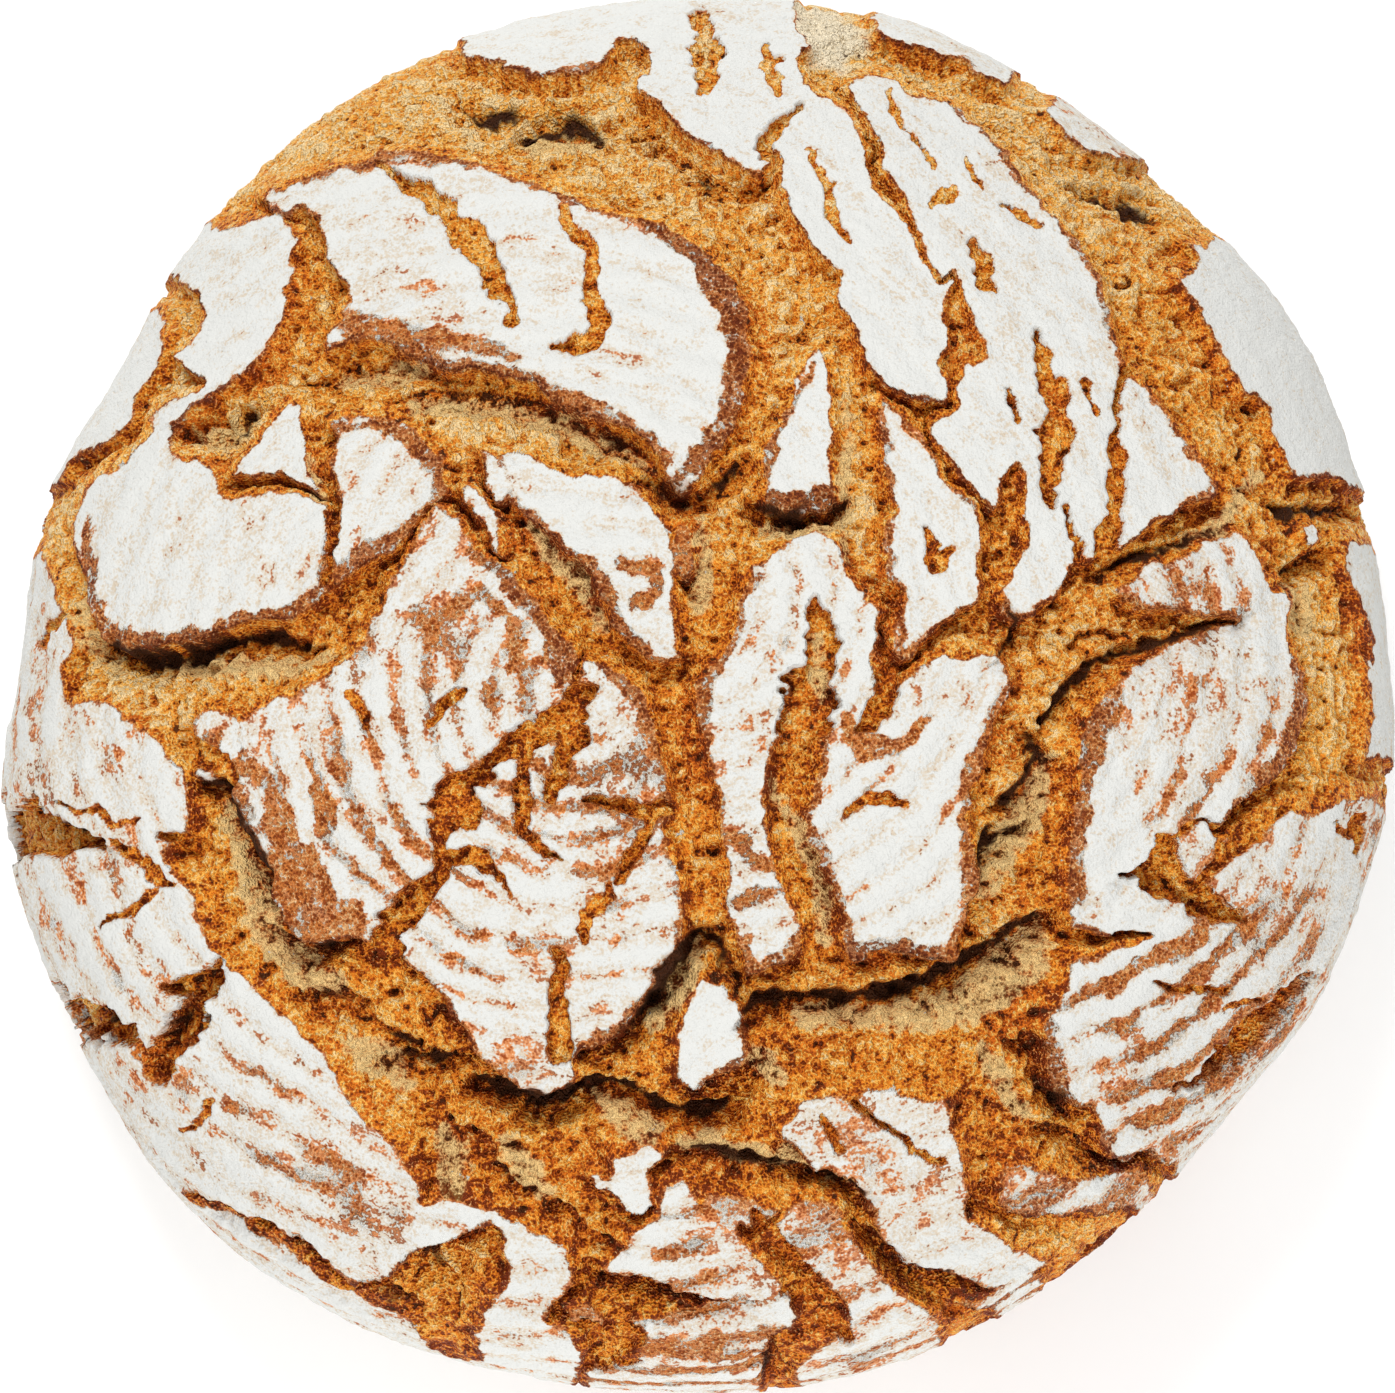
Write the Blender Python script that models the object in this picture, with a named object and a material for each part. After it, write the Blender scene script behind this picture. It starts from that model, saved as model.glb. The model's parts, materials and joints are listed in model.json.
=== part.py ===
"""Round farmhouse loaf: a domed body whose floured crust has burst into plates.

The body is a dome: an upper superellipse from the crown down to the girth, a lower quarter
ellipse in to a flat sole.  The dome is unrolled into a flat disc, where a point's distance from
the middle is its arc length from the crown.  The plates keep the dome's own level.  Between them
the crust is torn open to a rounded floor, with deeper tears under the plates' edges.

Outlines are read in pixels of the view, x to the right and y downwards, and turned into
positions on the dome through the same view.
"""
import math

import bpy
import numpy as np
from mathutils import Vector
from mathutils.geometry import delaunay_2d_cdt

LOAF_WIDTH = 0.300
LOAF_HEIGHT = 0.105
GIRTH_HEIGHT = 0.032
SOLE_RADIUS = 0.112
DOME_POWER = 2.3

VIEW_ELEVATION = math.radians(80.0)
VIEW_DISTANCE = 1.10
VIEW_TARGET_HEIGHT = 0.040
WIDTH_PIXELS = 1385.0
MIDDLE_X = 697.5
MIDDLE_Y = 695.5
PIXEL = LOAF_WIDTH / WIDTH_PIXELS
FOCAL_PIXELS = (VIEW_DISTANCE + 0.008) / PIXEL

# Beyond this share of the girth radius the chart runs on straight down the side.
SIDE_SHARE = 0.97
SIDE_GAIN = 0.80
FLANK_REACH = 1.7

LIP_RISE = 0.0006
LIP_WIDTH = 0.004
WALL_HALF_WIDTH = 0.0010
FLOOR_DEPTH = 0.0032
FOOT_DEPTH = 0.0022
FOOT_WIDTH = 0.009
FLOOR_BUMP = 0.0012
EDGE_WANDER = 6.0
WANDER_CELL = 0.014
TEAR_STEEP = 0.0022
TEAR_GENTLE = 0.0085
TIDY_BAND = 0.036
TIDY_WANDER = 0.009
SIDE_FLOOR_SHARE = 0.42
FAR = 60.0

TOP_SPACING = 0.0053
SIDE_SPACING = 0.0085
EDGE_SPACING = 0.0054
LEAST_GAP = 0.0019
SOLE_COUNT = 132
SEED = 11

CRUST_COLOUR = (0.62, 0.42, 0.24, 1.0)
CRUST_ROUGHNESS = 0.82

# Silhouette of the loaf, clockwise from the far end.
SILHOUETTE_PIXELS = (
    (700, 6), (800, 16), (900, 30), (1010, 82), (1120, 155), (1200, 232), (1290, 330), (1350, 470),
    (1380, 620), (1390, 760), (1366, 870), (1322, 990), (1245, 1092), (1140, 1208), (1021, 1300),
    (898, 1360), (770, 1387), (614, 1386), (456, 1358), (313, 1301), (183, 1200), (94, 1065),
    (30, 920), (4, 797), (24, 690), (48, 515), (117, 391), (201, 247), (300, 143), (400, 80), (520, 34),
)

# Plates that lie wholly on top, each a closed ring.
ISLANDS = {
    "brow": ((262, 198), (345, 166), (400, 149), (500, 170), (610, 212), (665, 224), (712, 256), (748, 340),
             (738, 415), (684, 492), (655, 445), (580, 412), (485, 372), (400, 350), (330, 350), (352, 290),
             (322, 228), (290, 210)),
    "triangle": ((299, 404), (232, 478), (274, 474), (318, 497), (305, 440)),
    "temple": ((332, 424), (385, 415), (428, 442), (444, 478), (412, 523), (372, 562), (334, 584),
               (341, 530), (332, 470)),
    "fan": ((498, 455), (550, 464), (612, 476), (645, 495), (669, 545), (682, 656), (634, 646), (606, 600),
            (562, 545), (526, 514), (505, 490)),
    "north tongue": ((816, 350), (828, 380), (832, 440), (834, 500), (788, 514), (766, 495), (764, 458),
                     (786, 410), (798, 372)),
    "spur": ((882, 398), (922, 432), (944, 478), (976, 508), (982, 560), (975, 602), (928, 634), (902, 654),
             (895, 625), (900, 592), (884, 560), (890, 505), (884, 450)),
    "shield": ((848, 86), (892, 78), (952, 103), (1016, 170), (1064, 224), (1094, 272), (1122, 362),
               (1180, 432), (1216, 492), (1172, 510), (1120, 552), (1106, 536), (1066, 578), (1022, 622),
               (1000, 612), (1024, 556), (1026, 480), (1016, 466), (996, 508), (962, 478), (936, 438),
               (958, 408), (982, 356), (954, 272), (938, 276), (910, 218), (884, 150)),
    "slab": ((780, 548), (815, 530), (842, 566), (880, 622), (874, 676), (886, 690), (924, 660), (975, 656),
             (1008, 665), (1000, 715), (968, 815), (982, 880), (954, 962), (880, 950), (850, 956),
             (842, 905), (808, 838), (822, 745), (822, 700), (808, 716), (792, 702), (768, 770), (772, 852),
             (800, 925), (794, 955), (750, 974), (726, 890), (722, 818), (706, 730), (696, 690), (728, 635),
             (746, 575)),
    "low north": ((706, 978), (732, 1003), (744, 1062), (700, 1090), (675, 1062), (685, 1008)),
    "crown": ((428, 508), (458, 520), (508, 570), (545, 616), (578, 654), (570, 685), (590, 664), (648, 702),
              (670, 810), (664, 838), (684, 928), (672, 965), (606, 1044), (578, 1052), (576, 1082),
              (542, 1098), (480, 1056), (430, 984), (382, 958), (354, 936), (300, 938), (264, 868),
              (216, 783), (198, 778), (196, 714), (240, 720), (335, 668), (380, 606)),
    "patch": ((812, 1097), (868, 1090), (948, 1100), (966, 1170), (964, 1215), (1050, 1266), (1000, 1285),
              (905, 1264), (874, 1212), (838, 1178), (808, 1172), (778, 1140)),
    "crumb": ((613, 1160), (652, 1144), (661, 1162), (650, 1190), (642, 1212), (620, 1200), (594, 1180)),
}

# Plates that run on down the side: the inner lip only, from silhouette to silhouette.
FLANKS = {
    "north west cheek": ((219, 229), (277, 212), (298, 240), (290, 258), (288, 318), (248, 370), (190, 412),
                         (172, 438), (206, 460), (218, 494), (290, 494), (326, 520), (326, 590), (250, 624),
                         (160, 646), (102, 634), (84, 572), (80, 508), (128, 458), (158, 410), (204, 384),
                         (180, 352), (204, 304), (180, 280)),
    "north cap": ((462, 40), (466, 56), (552, 74), (605, 62), (618, 40), (640, 40), (652, 66), (640, 84),
                  (690, 134), (760, 172), (772, 150), (782, 186), (840, 278), (834, 298), (862, 356),
                  (893, 390), (942, 402), (950, 384), (938, 362), (952, 276), (918, 245), (866, 172),
                  (850, 120), (798, 66), (812, 48), (795, 16)),
    "north east rim": ((872, 18), (882, 36), (966, 66), (1006, 88)),
    "north east fringe": ((1046, 112), (1064, 138), (1100, 160), (1142, 164)),
    "east rim": ((1208, 246), (1198, 262), (1178, 284), (1240, 385), (1268, 412), (1290, 466), (1304, 474),
                 (1352, 488)),
    "east strip": ((1364, 545), (1346, 550), (1368, 634), (1368, 735), (1360, 760), (1384, 754)),
    "south east": ((1384, 800), (1345, 796), (1310, 812), (1286, 806), (1222, 838), (1262, 784), (1302, 735),
                   (1304, 690), (1286, 618), (1288, 598), (1246, 540), (1204, 540), (1126, 584), (1110, 592),
                   (1200, 612), (1240, 614), (1160, 650), (1100, 698), (1078, 800), (1068, 850), (1078, 930),
                   (1150, 932), (1076, 962), (1046, 1022), (1068, 1100), (1094, 1110), (1122, 1166),
                   (1182, 1168)),
    "low fold": ((1156, 1186), (1080, 1182), (1030, 1165), (1000, 1190), (1010, 1212), (1060, 1215),
                 (1142, 1208)),
    "south flap": ((1046, 1284), (1020, 1270), (955, 1300), (1000, 1313)),
    "south tongue": ((948, 1348), (936, 1320), (880, 1272), (850, 1232), (838, 1205), (800, 1200),
                     (772, 1230), (842, 1296), (850, 1322), (812, 1352), (800, 1384)),
    "south hem": ((762, 1388), (766, 1352), (790, 1325), (795, 1305), (742, 1228), (778, 1208), (706, 1194),
                  (662, 1186), (656, 1216), (600, 1270), (700, 1298), (730, 1300), (650, 1318), (590, 1300),
                  (566, 1312), (640, 1325), (636, 1360), (584, 1380)),
    "south west": ((574, 1378), (580, 1350), (545, 1316), (571, 1272), (558, 1244), (490, 1208), (420, 1202),
                   (400, 1152), (326, 1052), (224, 964), (166, 862), (186, 830), (186, 780), (168, 750),
                   (108, 700), (70, 702), (68, 660), (75, 643), (54, 584), (40, 550)),
    "south west rim": ((199, 1216), (232, 1230), (300, 1272), (400, 1322), (436, 1358)),
    "west strip": ((60, 480), (108, 441), (138, 404), (168, 344), (163, 312)),
}

# Torn openings inside a plate, each a closed ring.
BAYS = {
    "south west bay": ((446, 1244), (492, 1220), (504, 1256), (484, 1317), (470, 1380), (420, 1400),
                       (414, 1333), (320, 1278), (220, 1216), (170, 1210), (182, 1194), (290, 1236),
                       (360, 1284), (412, 1250)),
}

# Cracks across a plate: depth in metres, then x, y and width along the crack.
CRACKS = {
    "brow split": (0.0020, ((400, 176, 14), (450, 215, 26), (482, 260, 28), (512, 310, 8))),
    "shield lens": (0.0025, ((1044, 345, 8), (1057, 420, 28), (1056, 506, 6))),
    "shield spear": (0.0025, ((1120, 440, 8), (1119, 485, 16), (1104, 548, 34))),
    "slab lens": (0.0040, ((814, 604, 8), (820, 640, 30), (806, 720, 50))),
    "slab channel": (0.0030, ((886, 672, 20), (884, 700, 20), (860, 730, 6))),
    "cheek split": (0.0020, ((324, 505, 6), (332, 545, 12), (324, 580, 10))),
    "crown channel": (0.0040, ((588, 694, 20), (534, 732, 34), (484, 768, 24), (448, 805, 46), (438, 850, 18),
                               (398, 922, 30), (380, 948, 34))),
    "crown cleft": (0.0025, ((530, 735, 10), (518, 800, 22), (558, 862, 6))),
    "crown gap": (0.0030, ((558, 955, 12), (561, 1010, 18), (562, 1052, 26))),
    "west gash": (0.0050, ((-40, 832, 90), (52, 838, 34), (104, 844, 6))),
    "west pocket": (0.0045, ((218, 966, 8), (182, 1015, 40), (160, 1086, 8))),
    "west mouth": (0.0050, ((20, 1035, 80), (100, 1029, 40), (134, 1022, 6))),
    "hem gap": (0.0025, ((585, 1292, 6), (614, 1330, 44), (598, 1366, 30))),
    "hem fork": (0.0025, ((768, 1226, 14), (800, 1282, 30), (850, 1338, 10))),
    "tongue fork": (0.0025, ((846, 1180, 6), (866, 1224, 22), (906, 1276, 14), (960, 1320, 20))),
    "east star": (0.0035, ((1122, 879, 6), (1160, 870, 34), (1200, 898, 32), (1240, 918, 10))),
    "east star arm": (0.0015, ((1200, 885, 12), (1262, 822, 24), (1290, 806, 12))),
    "east gill": (0.0040, ((1322, 968, 6), (1262, 1028, 28), (1178, 1088, 6))),
}

# Deep tears: depth in metres, then x, y and width along the tear.
TEARS = {
    "west furrow": (0.009, ((100, 640, 6), (140, 654, 16), (204, 642, 12), (300, 640, 6))),
    "brow lens": (0.008, ((320, 374, 6), (380, 360, 14), (428, 356, 6))),
    "brow furrow": (0.007, ((412, 394, 6), (500, 392, 12), (590, 418, 10), (650, 456, 6))),
    "brow foot": (0.007, ((640, 480, 6), (692, 492, 16), (734, 462, 8))),
    "north hollow": (0.007, ((518, 122, 8), (560, 107, 22), (600, 124, 8))),
    "north lip": (0.006, ((612, 112, 8), (664, 134, 14), (762, 174, 6))),
    "tongue foot": (0.007, ((762, 500, 6), (812, 508, 16), (832, 498, 8))),
    "west rift": (0.009, ((200, 780, 6), (232, 806, 12), (266, 884, 10))),
    "south west rift": (0.007, ((306, 992, 6), (350, 1002, 12), (410, 1044, 10))),
    "crown foot": (0.012, ((440, 1062, 8), (500, 1092, 24), (560, 1104, 32), (610, 1086, 14), (672, 1112, 12),
                           (730, 1112, 14))),
    "crown side": (0.008, ((704, 930, 6), (654, 990, 14), (618, 1040, 12))),
    "slab foot": (0.011, ((746, 1014, 6), (800, 998, 16), (870, 993, 18), (940, 982, 20), (1000, 946, 16),
                          (1044, 917, 6))),
    "south groove": (0.006, ((690, 1150, 8), (752, 1164, 12), (866, 1196, 8))),
    "east hole": (0.009, ((1036, 738, 14), (1030, 770, 12), (1004, 800, 8), (984, 862, 16))),
    "east fissure": (0.008, ((1240, 615, 4), (1140, 646, 9), (1084, 672, 14), (1050, 716, 6))),
    "rim hollow": (0.006, ((1282, 500, 6), (1318, 506, 14), (1348, 506, 8))),
    "low corner": (0.007, ((1050, 1130, 6), (1100, 1164, 16), (1150, 1156, 10))),
    "low east hole": (0.008, ((1030, 1040, 14), (1058, 1084, 16), (1070, 1108, 10))),
    "patch foot": (0.007, ((872, 1234, 6), (908, 1268, 12), (952, 1274, 6))),
}


def lattice_value(cell, seed):
    """A fixed value from -1 to 1 for each whole-numbered cell of a lattice."""
    parts = cell.astype(np.int64).astype(np.uint32)
    mixed = parts[..., 0] * np.uint32(73856093)
    mixed = mixed ^ (parts[..., 1] * np.uint32(19349663))
    mixed = mixed ^ (parts[..., 2] * np.uint32(83492791))
    mixed = mixed ^ np.uint32(seed * 7919 + 101)
    mixed = (mixed ^ (mixed >> np.uint32(13))) * np.uint32(1274126177)
    mixed = mixed ^ (mixed >> np.uint32(16))
    return (mixed & np.uint32(65535)).astype(float) / 32767.5 - 1.0


def noise(points, size, seed):
    """Smooth value noise from -1 to 1, with cells of the given size in metres."""
    scaled = points / size + 512.0
    base = np.floor(scaled)
    part = scaled - base
    part = part * part * (3.0 - 2.0 * part)
    total = np.zeros(len(points))
    for corner in np.ndindex(2, 2, 2):
        step = np.array(corner)
        weight = np.prod(np.where(step == 1, part, 1.0 - part), axis=1)
        total += weight * lattice_value(base + step, seed)
    return total


def smooth_ramp(value, low, high):
    """0 below low, 1 above high, with a smooth rise between them."""
    share = np.clip((value - low) / (high - low), 0.0, 1.0)
    return share * share * (3.0 - 2.0 * share)


def smooth_curve(points, closed, step):
    """A Catmull-Rom curve through the points, sampled about every step."""
    rows = np.array(points, float)
    count = len(rows)
    samples = []
    for index in range(count if closed else count - 1):
        if closed:
            picks = [(index + offset) % count for offset in (-1, 0, 1, 2)]
        else:
            picks = [min(max(index + offset, 0), count - 1) for offset in (-1, 0, 1, 2)]
        before, start, end, after = rows[picks]
        pieces = max(2, int(round(np.linalg.norm((end - start)[:2]) / step)))
        for part in np.arange(pieces) / pieces:
            samples.append(0.5 * (2.0 * start + (end - before) * part
                                  + (2.0 * before - 5.0 * start + 4.0 * end - after) * part ** 2
                                  + (3.0 * start - before - 3.0 * end + after) * part ** 3))
    if not closed:
        samples.append(rows[-1])
    return np.array(samples)


def view_pixels(points):
    """Pixels of the view in which points on the loaf are seen."""
    forward = np.array((0.0, math.cos(VIEW_ELEVATION), -math.sin(VIEW_ELEVATION)))
    upward = np.array((0.0, math.sin(VIEW_ELEVATION), math.cos(VIEW_ELEVATION)))
    offset = points - np.array((0.0, 0.0, VIEW_TARGET_HEIGHT))
    scale = FOCAL_PIXELS / (VIEW_DISTANCE + offset @ forward)
    return np.stack((MIDDLE_X + offset[:, 0] * scale, MIDDLE_Y - (offset @ upward) * scale), axis=1)


def plan_of_silhouette():
    """Girth radius for each of 720 directions, from the silhouette seen in the view."""
    outline = smooth_curve(SILHOUETTE_PIXELS, True, 12.0)
    plan = (outline - (MIDDLE_X, MIDDLE_Y)) * PIXEL * (1.0, -1.0)
    for _ in range(12):
        seen = view_pixels(np.column_stack((plan, np.full(len(plan), GIRTH_HEIGHT))))
        plan = plan + (outline - seen) * PIXEL * (1.0, -1.0)
    angle = np.arctan2(plan[:, 1], plan[:, 0])
    radius = np.hypot(plan[:, 0], plan[:, 1])
    order = np.argsort(angle)
    grid = np.linspace(-math.pi, math.pi, 721)
    table = np.interp(grid, angle[order], radius[order], period=2.0 * math.pi)
    kernel = np.hanning(31)
    kernel /= kernel.sum()
    wrapped = np.concatenate((table[-31:-1], table, table[1:31]))
    return grid, np.convolve(wrapped, kernel, mode="same")[30:-30]


def profile_tables():
    """Arc length, share of the girth radius and height, from the crown down to the sole."""
    turn = np.linspace(0.0, 1.0, 4001) ** 2 * (math.pi / 2.0)
    upper_share = np.sin(turn) ** (2.0 / DOME_POWER)
    upper_height = GIRTH_HEIGHT + (LOAF_HEIGHT - GIRTH_HEIGHT) * np.cos(turn) ** (2.0 / DOME_POWER)
    fall = np.linspace(0.0, math.pi / 2.0, 801)[1:]
    sole_share = SOLE_RADIUS / (LOAF_WIDTH / 2.0)
    lower_share = sole_share + (1.0 - sole_share) * np.cos(fall)
    lower_height = GIRTH_HEIGHT * (1.0 - np.sin(fall))
    share = np.concatenate((upper_share, lower_share))
    height = np.concatenate((upper_height, lower_height))
    steps = np.hypot(np.diff(share) * LOAF_WIDTH / 2.0, np.diff(height))
    length = np.concatenate(((0.0,), np.cumsum(steps)))
    return length, share, height


RADIUS_ANGLES, RADIUS_TABLE = plan_of_silhouette()
ARC_TABLE, SHARE_TABLE, HEIGHT_TABLE = profile_tables()
ARC_TOTAL = ARC_TABLE[-1]
ARC_SIDE = np.interp(SIDE_SHARE, SHARE_TABLE[:4001], ARC_TABLE[:4001])


def dome(flat):
    """Points of the smooth dome for points of the unrolled disc."""
    arc = np.hypot(flat[:, 0], flat[:, 1])
    angle = np.arctan2(flat[:, 1], flat[:, 0])
    radius = np.interp(angle, RADIUS_ANGLES, RADIUS_TABLE)
    reach = radius * np.interp(arc, ARC_TABLE, SHARE_TABLE)
    height = np.interp(arc, ARC_TABLE, HEIGHT_TABLE)
    return np.column_stack((reach * np.cos(angle), reach * np.sin(angle), height))


def chart(flat):
    """Chart pixels of unrolled points: the view on top, run on straight outward down the side."""
    arc = np.hypot(flat[:, 0], flat[:, 1])
    inner = flat * (np.minimum(arc, ARC_SIDE) / np.maximum(arc, 1e-9))[:, None]
    beyond = np.maximum(arc - ARC_SIDE, 0.0) * SIDE_GAIN / PIXEL
    outward = flat / np.maximum(arc, 1e-9)[:, None] * (1.0, -1.0)
    return view_pixels(dome(inner)) + outward * beyond[:, None]


def torn_chart(flat):
    """Chart pixels of unrolled points, moved a little so that every torn edge is ragged."""
    places = dome(flat)
    first = noise(places, WANDER_CELL, SEED) * EDGE_WANDER
    second = noise(places, WANDER_CELL, SEED + 1) * EDGE_WANDER
    return chart(flat) + np.column_stack((first, second))


def unroll(pixels):
    """Unrolled points whose chart pixels, moved as the torn edges are, are the ones given."""
    flat = (pixels - (MIDDLE_X, MIDDLE_Y)) * PIXEL * (1.0, -1.0)
    for _ in range(90):
        flat = flat + (pixels - torn_chart(flat)) * PIXEL * (0.8, -0.8)
    return flat


def flank_ring(lip, step):
    """A plate's inner lip, closed by two straight runs outward and an arc far outside."""
    curve = smooth_curve(lip, False, step)
    middle = np.array((MIDDLE_X, MIDDLE_Y))
    ends = curve[[-1, 0]] - middle
    angles = np.unwrap(np.arctan2(ends[:, 1], ends[:, 0]))
    sweep = np.linspace(angles[0], angles[1], 24)
    arc = middle + FLANK_REACH * WIDTH_PIXELS / 2.0 * np.column_stack((np.cos(sweep), np.sin(sweep)))
    runs = []
    for start, end in ((curve[-1], arc[0]), (arc[-1], curve[0])):
        pieces = max(2, int(np.linalg.norm(end - start) / step))
        runs.append(start + (end - start) * (np.arange(1, pieces) / pieces)[:, None])
    return np.concatenate((curve, runs[0], arc, runs[1]))


def ring_distance(points, ring):
    """Signed distance in pixels to a closed ring, positive inside, kept within FAR."""
    result = np.full(len(points), -FAR)
    low = ring.min(axis=0) - FAR
    high = ring.max(axis=0) + FAR
    near = np.nonzero(np.all((points > low) & (points < high), axis=1))[0]
    following = np.roll(ring, -1, axis=0)
    for block in np.array_split(near, max(1, len(near) // 2000)):
        here = points[block]
        squared = np.full(len(here), FAR * FAR)
        inside = np.zeros(len(here), bool)
        for start, end in zip(ring, following):
            run = end - start
            share = np.clip(((here - start) @ run) / max(run @ run, 1e-9), 0.0, 1.0)
            gap = here - start - share[:, None] * run
            squared = np.minimum(squared, (gap * gap).sum(axis=1))
            crossing = (start[1] > here[:, 1]) != (end[1] > here[:, 1])
            with np.errstate(divide="ignore", invalid="ignore"):
                side = start[0] + (here[:, 1] - start[1]) * run[0] / run[1]
            inside ^= crossing & (here[:, 0] < side)
        result[block] = np.where(inside, 1.0, -1.0) * np.sqrt(squared)
    return result


def stroke_offsets(points, stroke):
    """For each point the nearest distance to a stroke, its side (1 below) and the width there."""
    curve = smooth_curve(stroke, False, 14.0)
    distance = np.full(len(points), FAR)
    side = np.zeros(len(points))
    width = np.zeros(len(points))
    for start, end in zip(curve[:-1], curve[1:]):
        run = (end - start)[:2]
        share = np.clip(((points - start[:2]) @ run) / max(run @ run, 1e-9), 0.0, 1.0)
        gap = points - start[:2] - share[:, None] * run
        length = np.hypot(gap[:, 0], gap[:, 1])
        closer = length < distance
        distance = np.where(closer, length, distance)
        below = np.sign(gap[:, 1] * abs(run[0]) - gap[:, 0] * run[1] * np.sign(run[0]))
        side = np.where(closer, below, side)
        width = np.where(closer, start[2] + (end[2] - start[2]) * share, width)
    return distance, side, width


def relief(flat, rings, bays):
    """Height of the crust over the smooth dome, in metres, at unrolled points."""
    places = dome(flat)
    pixels = torn_chart(flat)
    arc = np.hypot(flat[:, 0], flat[:, 1])
    edge = np.full(len(flat), -FAR)
    for ring in rings:
        edge = np.maximum(edge, ring_distance(pixels, ring))
    for ring in bays:
        edge = np.minimum(edge, -ring_distance(pixels, ring))
    band = (arc - (ARC_TOTAL - TIDY_BAND) + TIDY_WANDER * noise(places, 0.02, SEED + 2)) / PIXEL
    edge = np.maximum(edge, np.minimum(band, FAR))
    distance = edge * PIXEL
    cover = smooth_ramp(distance, -WALL_HALF_WIDTH, WALL_HALF_WIDTH)
    floor = FLOOR_DEPTH + FOOT_DEPTH * np.exp(np.minimum(distance, 0.0) / FOOT_WIDTH)
    bumps = noise(places, 0.011, SEED + 3) + 0.5 * noise(places, 0.005, SEED + 4)
    floor = floor + FLOOR_BUMP * bumps
    floor = floor * (1.0 - (1.0 - SIDE_FLOOR_SHARE) * smooth_ramp(arc, ARC_SIDE - 0.030, ARC_SIDE + 0.008))
    lip = LIP_RISE * np.exp(-np.maximum(distance, 0.0) / LIP_WIDTH)
    height = cover * lip - (1.0 - cover) * floor
    for depth, stroke in CRACKS.values():
        gap, _, width = stroke_offsets(pixels, stroke)
        inside = smooth_ramp(width / 2.0 - gap, -4.0, 4.0)
        height = np.minimum(height, height * (1.0 - inside) - depth * inside)
    for depth, stroke in TEARS.values():
        gap, side, width = stroke_offsets(pixels, stroke)
        past = np.maximum(gap - width / 2.0, 0.0) * PIXEL
        reach = np.where(side < 0.0, TEAR_STEEP, TEAR_GENTLE)
        height = height - depth * (1.0 - smooth_ramp(past, 0.0, reach)) * (1.0 - 0.4 * cover)
    fade = 1.0 - smooth_ramp(arc, ARC_TOTAL - 0.022, ARC_TOTAL - 0.004)
    return height * fade


def outward_normals(flat):
    """Unit normals of the smooth dome at unrolled points."""
    step = 0.0005
    along_x = dome(flat + (step, 0.0)) - dome(flat - (step, 0.0))
    along_y = dome(flat + (0.0, step)) - dome(flat - (0.0, step))
    normals = np.cross(along_x, along_y)
    return normals / np.linalg.norm(normals, axis=1, keepdims=True)


def offset_loop(ring, amount, closed):
    """A loop or line moved sideways by a number of pixels."""
    if closed:
        along = np.roll(ring, -1, axis=0) - np.roll(ring, 1, axis=0)
    else:
        along = np.gradient(ring, axis=0)
    along = along / np.maximum(np.linalg.norm(along, axis=1, keepdims=True), 1e-9)
    return ring + np.column_stack((-along[:, 1], along[:, 0])) * amount


def spread_points(fixed):
    """Unrolled points on rings round the crown, clear of the fixed ones."""
    spots = [(0.0, 0.0)]
    arc = TOP_SPACING
    row = 0
    while arc < ARC_TOTAL - 0.004:
        reach = LOAF_WIDTH / 2.0 * np.interp(arc, ARC_TABLE, SHARE_TABLE)
        on_side = arc > ARC_SIDE + 0.012
        spacing = SIDE_SPACING if on_side else TOP_SPACING
        count = max(6, int(round(2.0 * math.pi * reach / spacing)))
        turn = (np.arange(count) + 0.5 * (row % 2)) * 2.0 * math.pi / count
        spots.extend(zip(arc * np.cos(turn), arc * np.sin(turn)))
        arc += spacing * 0.88
        row += 1
    spots = np.array(spots)
    keep = np.ones(len(spots), bool)
    for index, spot in enumerate(spots):
        gap = np.hypot(fixed[:, 0] - spot[0], fixed[:, 1] - spot[1]).min()
        keep[index] = gap > 0.55 * TOP_SPACING
    return spots[keep]


def build_net(rings, bays):
    """Unrolled points and triangles, with edges along the plates' lips and feet."""
    step = EDGE_SPACING / PIXEL
    points = []
    edges = []
    limit = ARC_TOTAL - 0.008

    def add_line(pixels, closed):
        """Adds a line of points, thinned so that no two are too close, as fixed edges."""
        flat = unroll(pixels)
        run = []
        for spot in flat:
            if np.hypot(spot[0], spot[1]) > limit:
                run.append(None)
                continue
            if points:
                gaps = np.hypot(*(np.array(points) - spot).T)
                if gaps.min() < LEAST_GAP:
                    run.append(int(gaps.argmin()) if gaps.argmin() >= 0 else None)
                    continue
            points.append(tuple(spot))
            run.append(len(points) - 1)
        pairs = list(zip(run, run[1:] + run[:1] if closed else run[1:]))
        edges.extend(pair for pair in pairs if None not in pair and pair[0] != pair[1])

    wall = WALL_HALF_WIDTH / PIXEL
    for ring in rings + bays:
        add_line(resample(offset_loop(ring, wall, True), step), True)
        add_line(resample(offset_loop(ring, -wall, True), step), True)
    for _, stroke in TEARS.values():
        curve = smooth_curve(stroke, False, 10.0)
        add_line(resample(curve[:, :2], step, False), False)
    fixed = np.array(points)
    rim_turn = np.arange(SOLE_COUNT) * 2.0 * math.pi / SOLE_COUNT
    rim = ARC_TOTAL * np.column_stack((np.cos(rim_turn), np.sin(rim_turn)))
    start = len(points)
    points.extend(map(tuple, rim))
    edges.extend((start + index, start + (index + 1) % SOLE_COUNT) for index in range(SOLE_COUNT))
    points.extend(map(tuple, spread_points(fixed)))
    unique = sorted({tuple(sorted(edge)) for edge in edges})
    result = delaunay_2d_cdt([Vector(spot) for spot in points], unique, [], 0, 1e-5)
    return np.array([tuple(spot) for spot in result[0]]), result[2]


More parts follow.
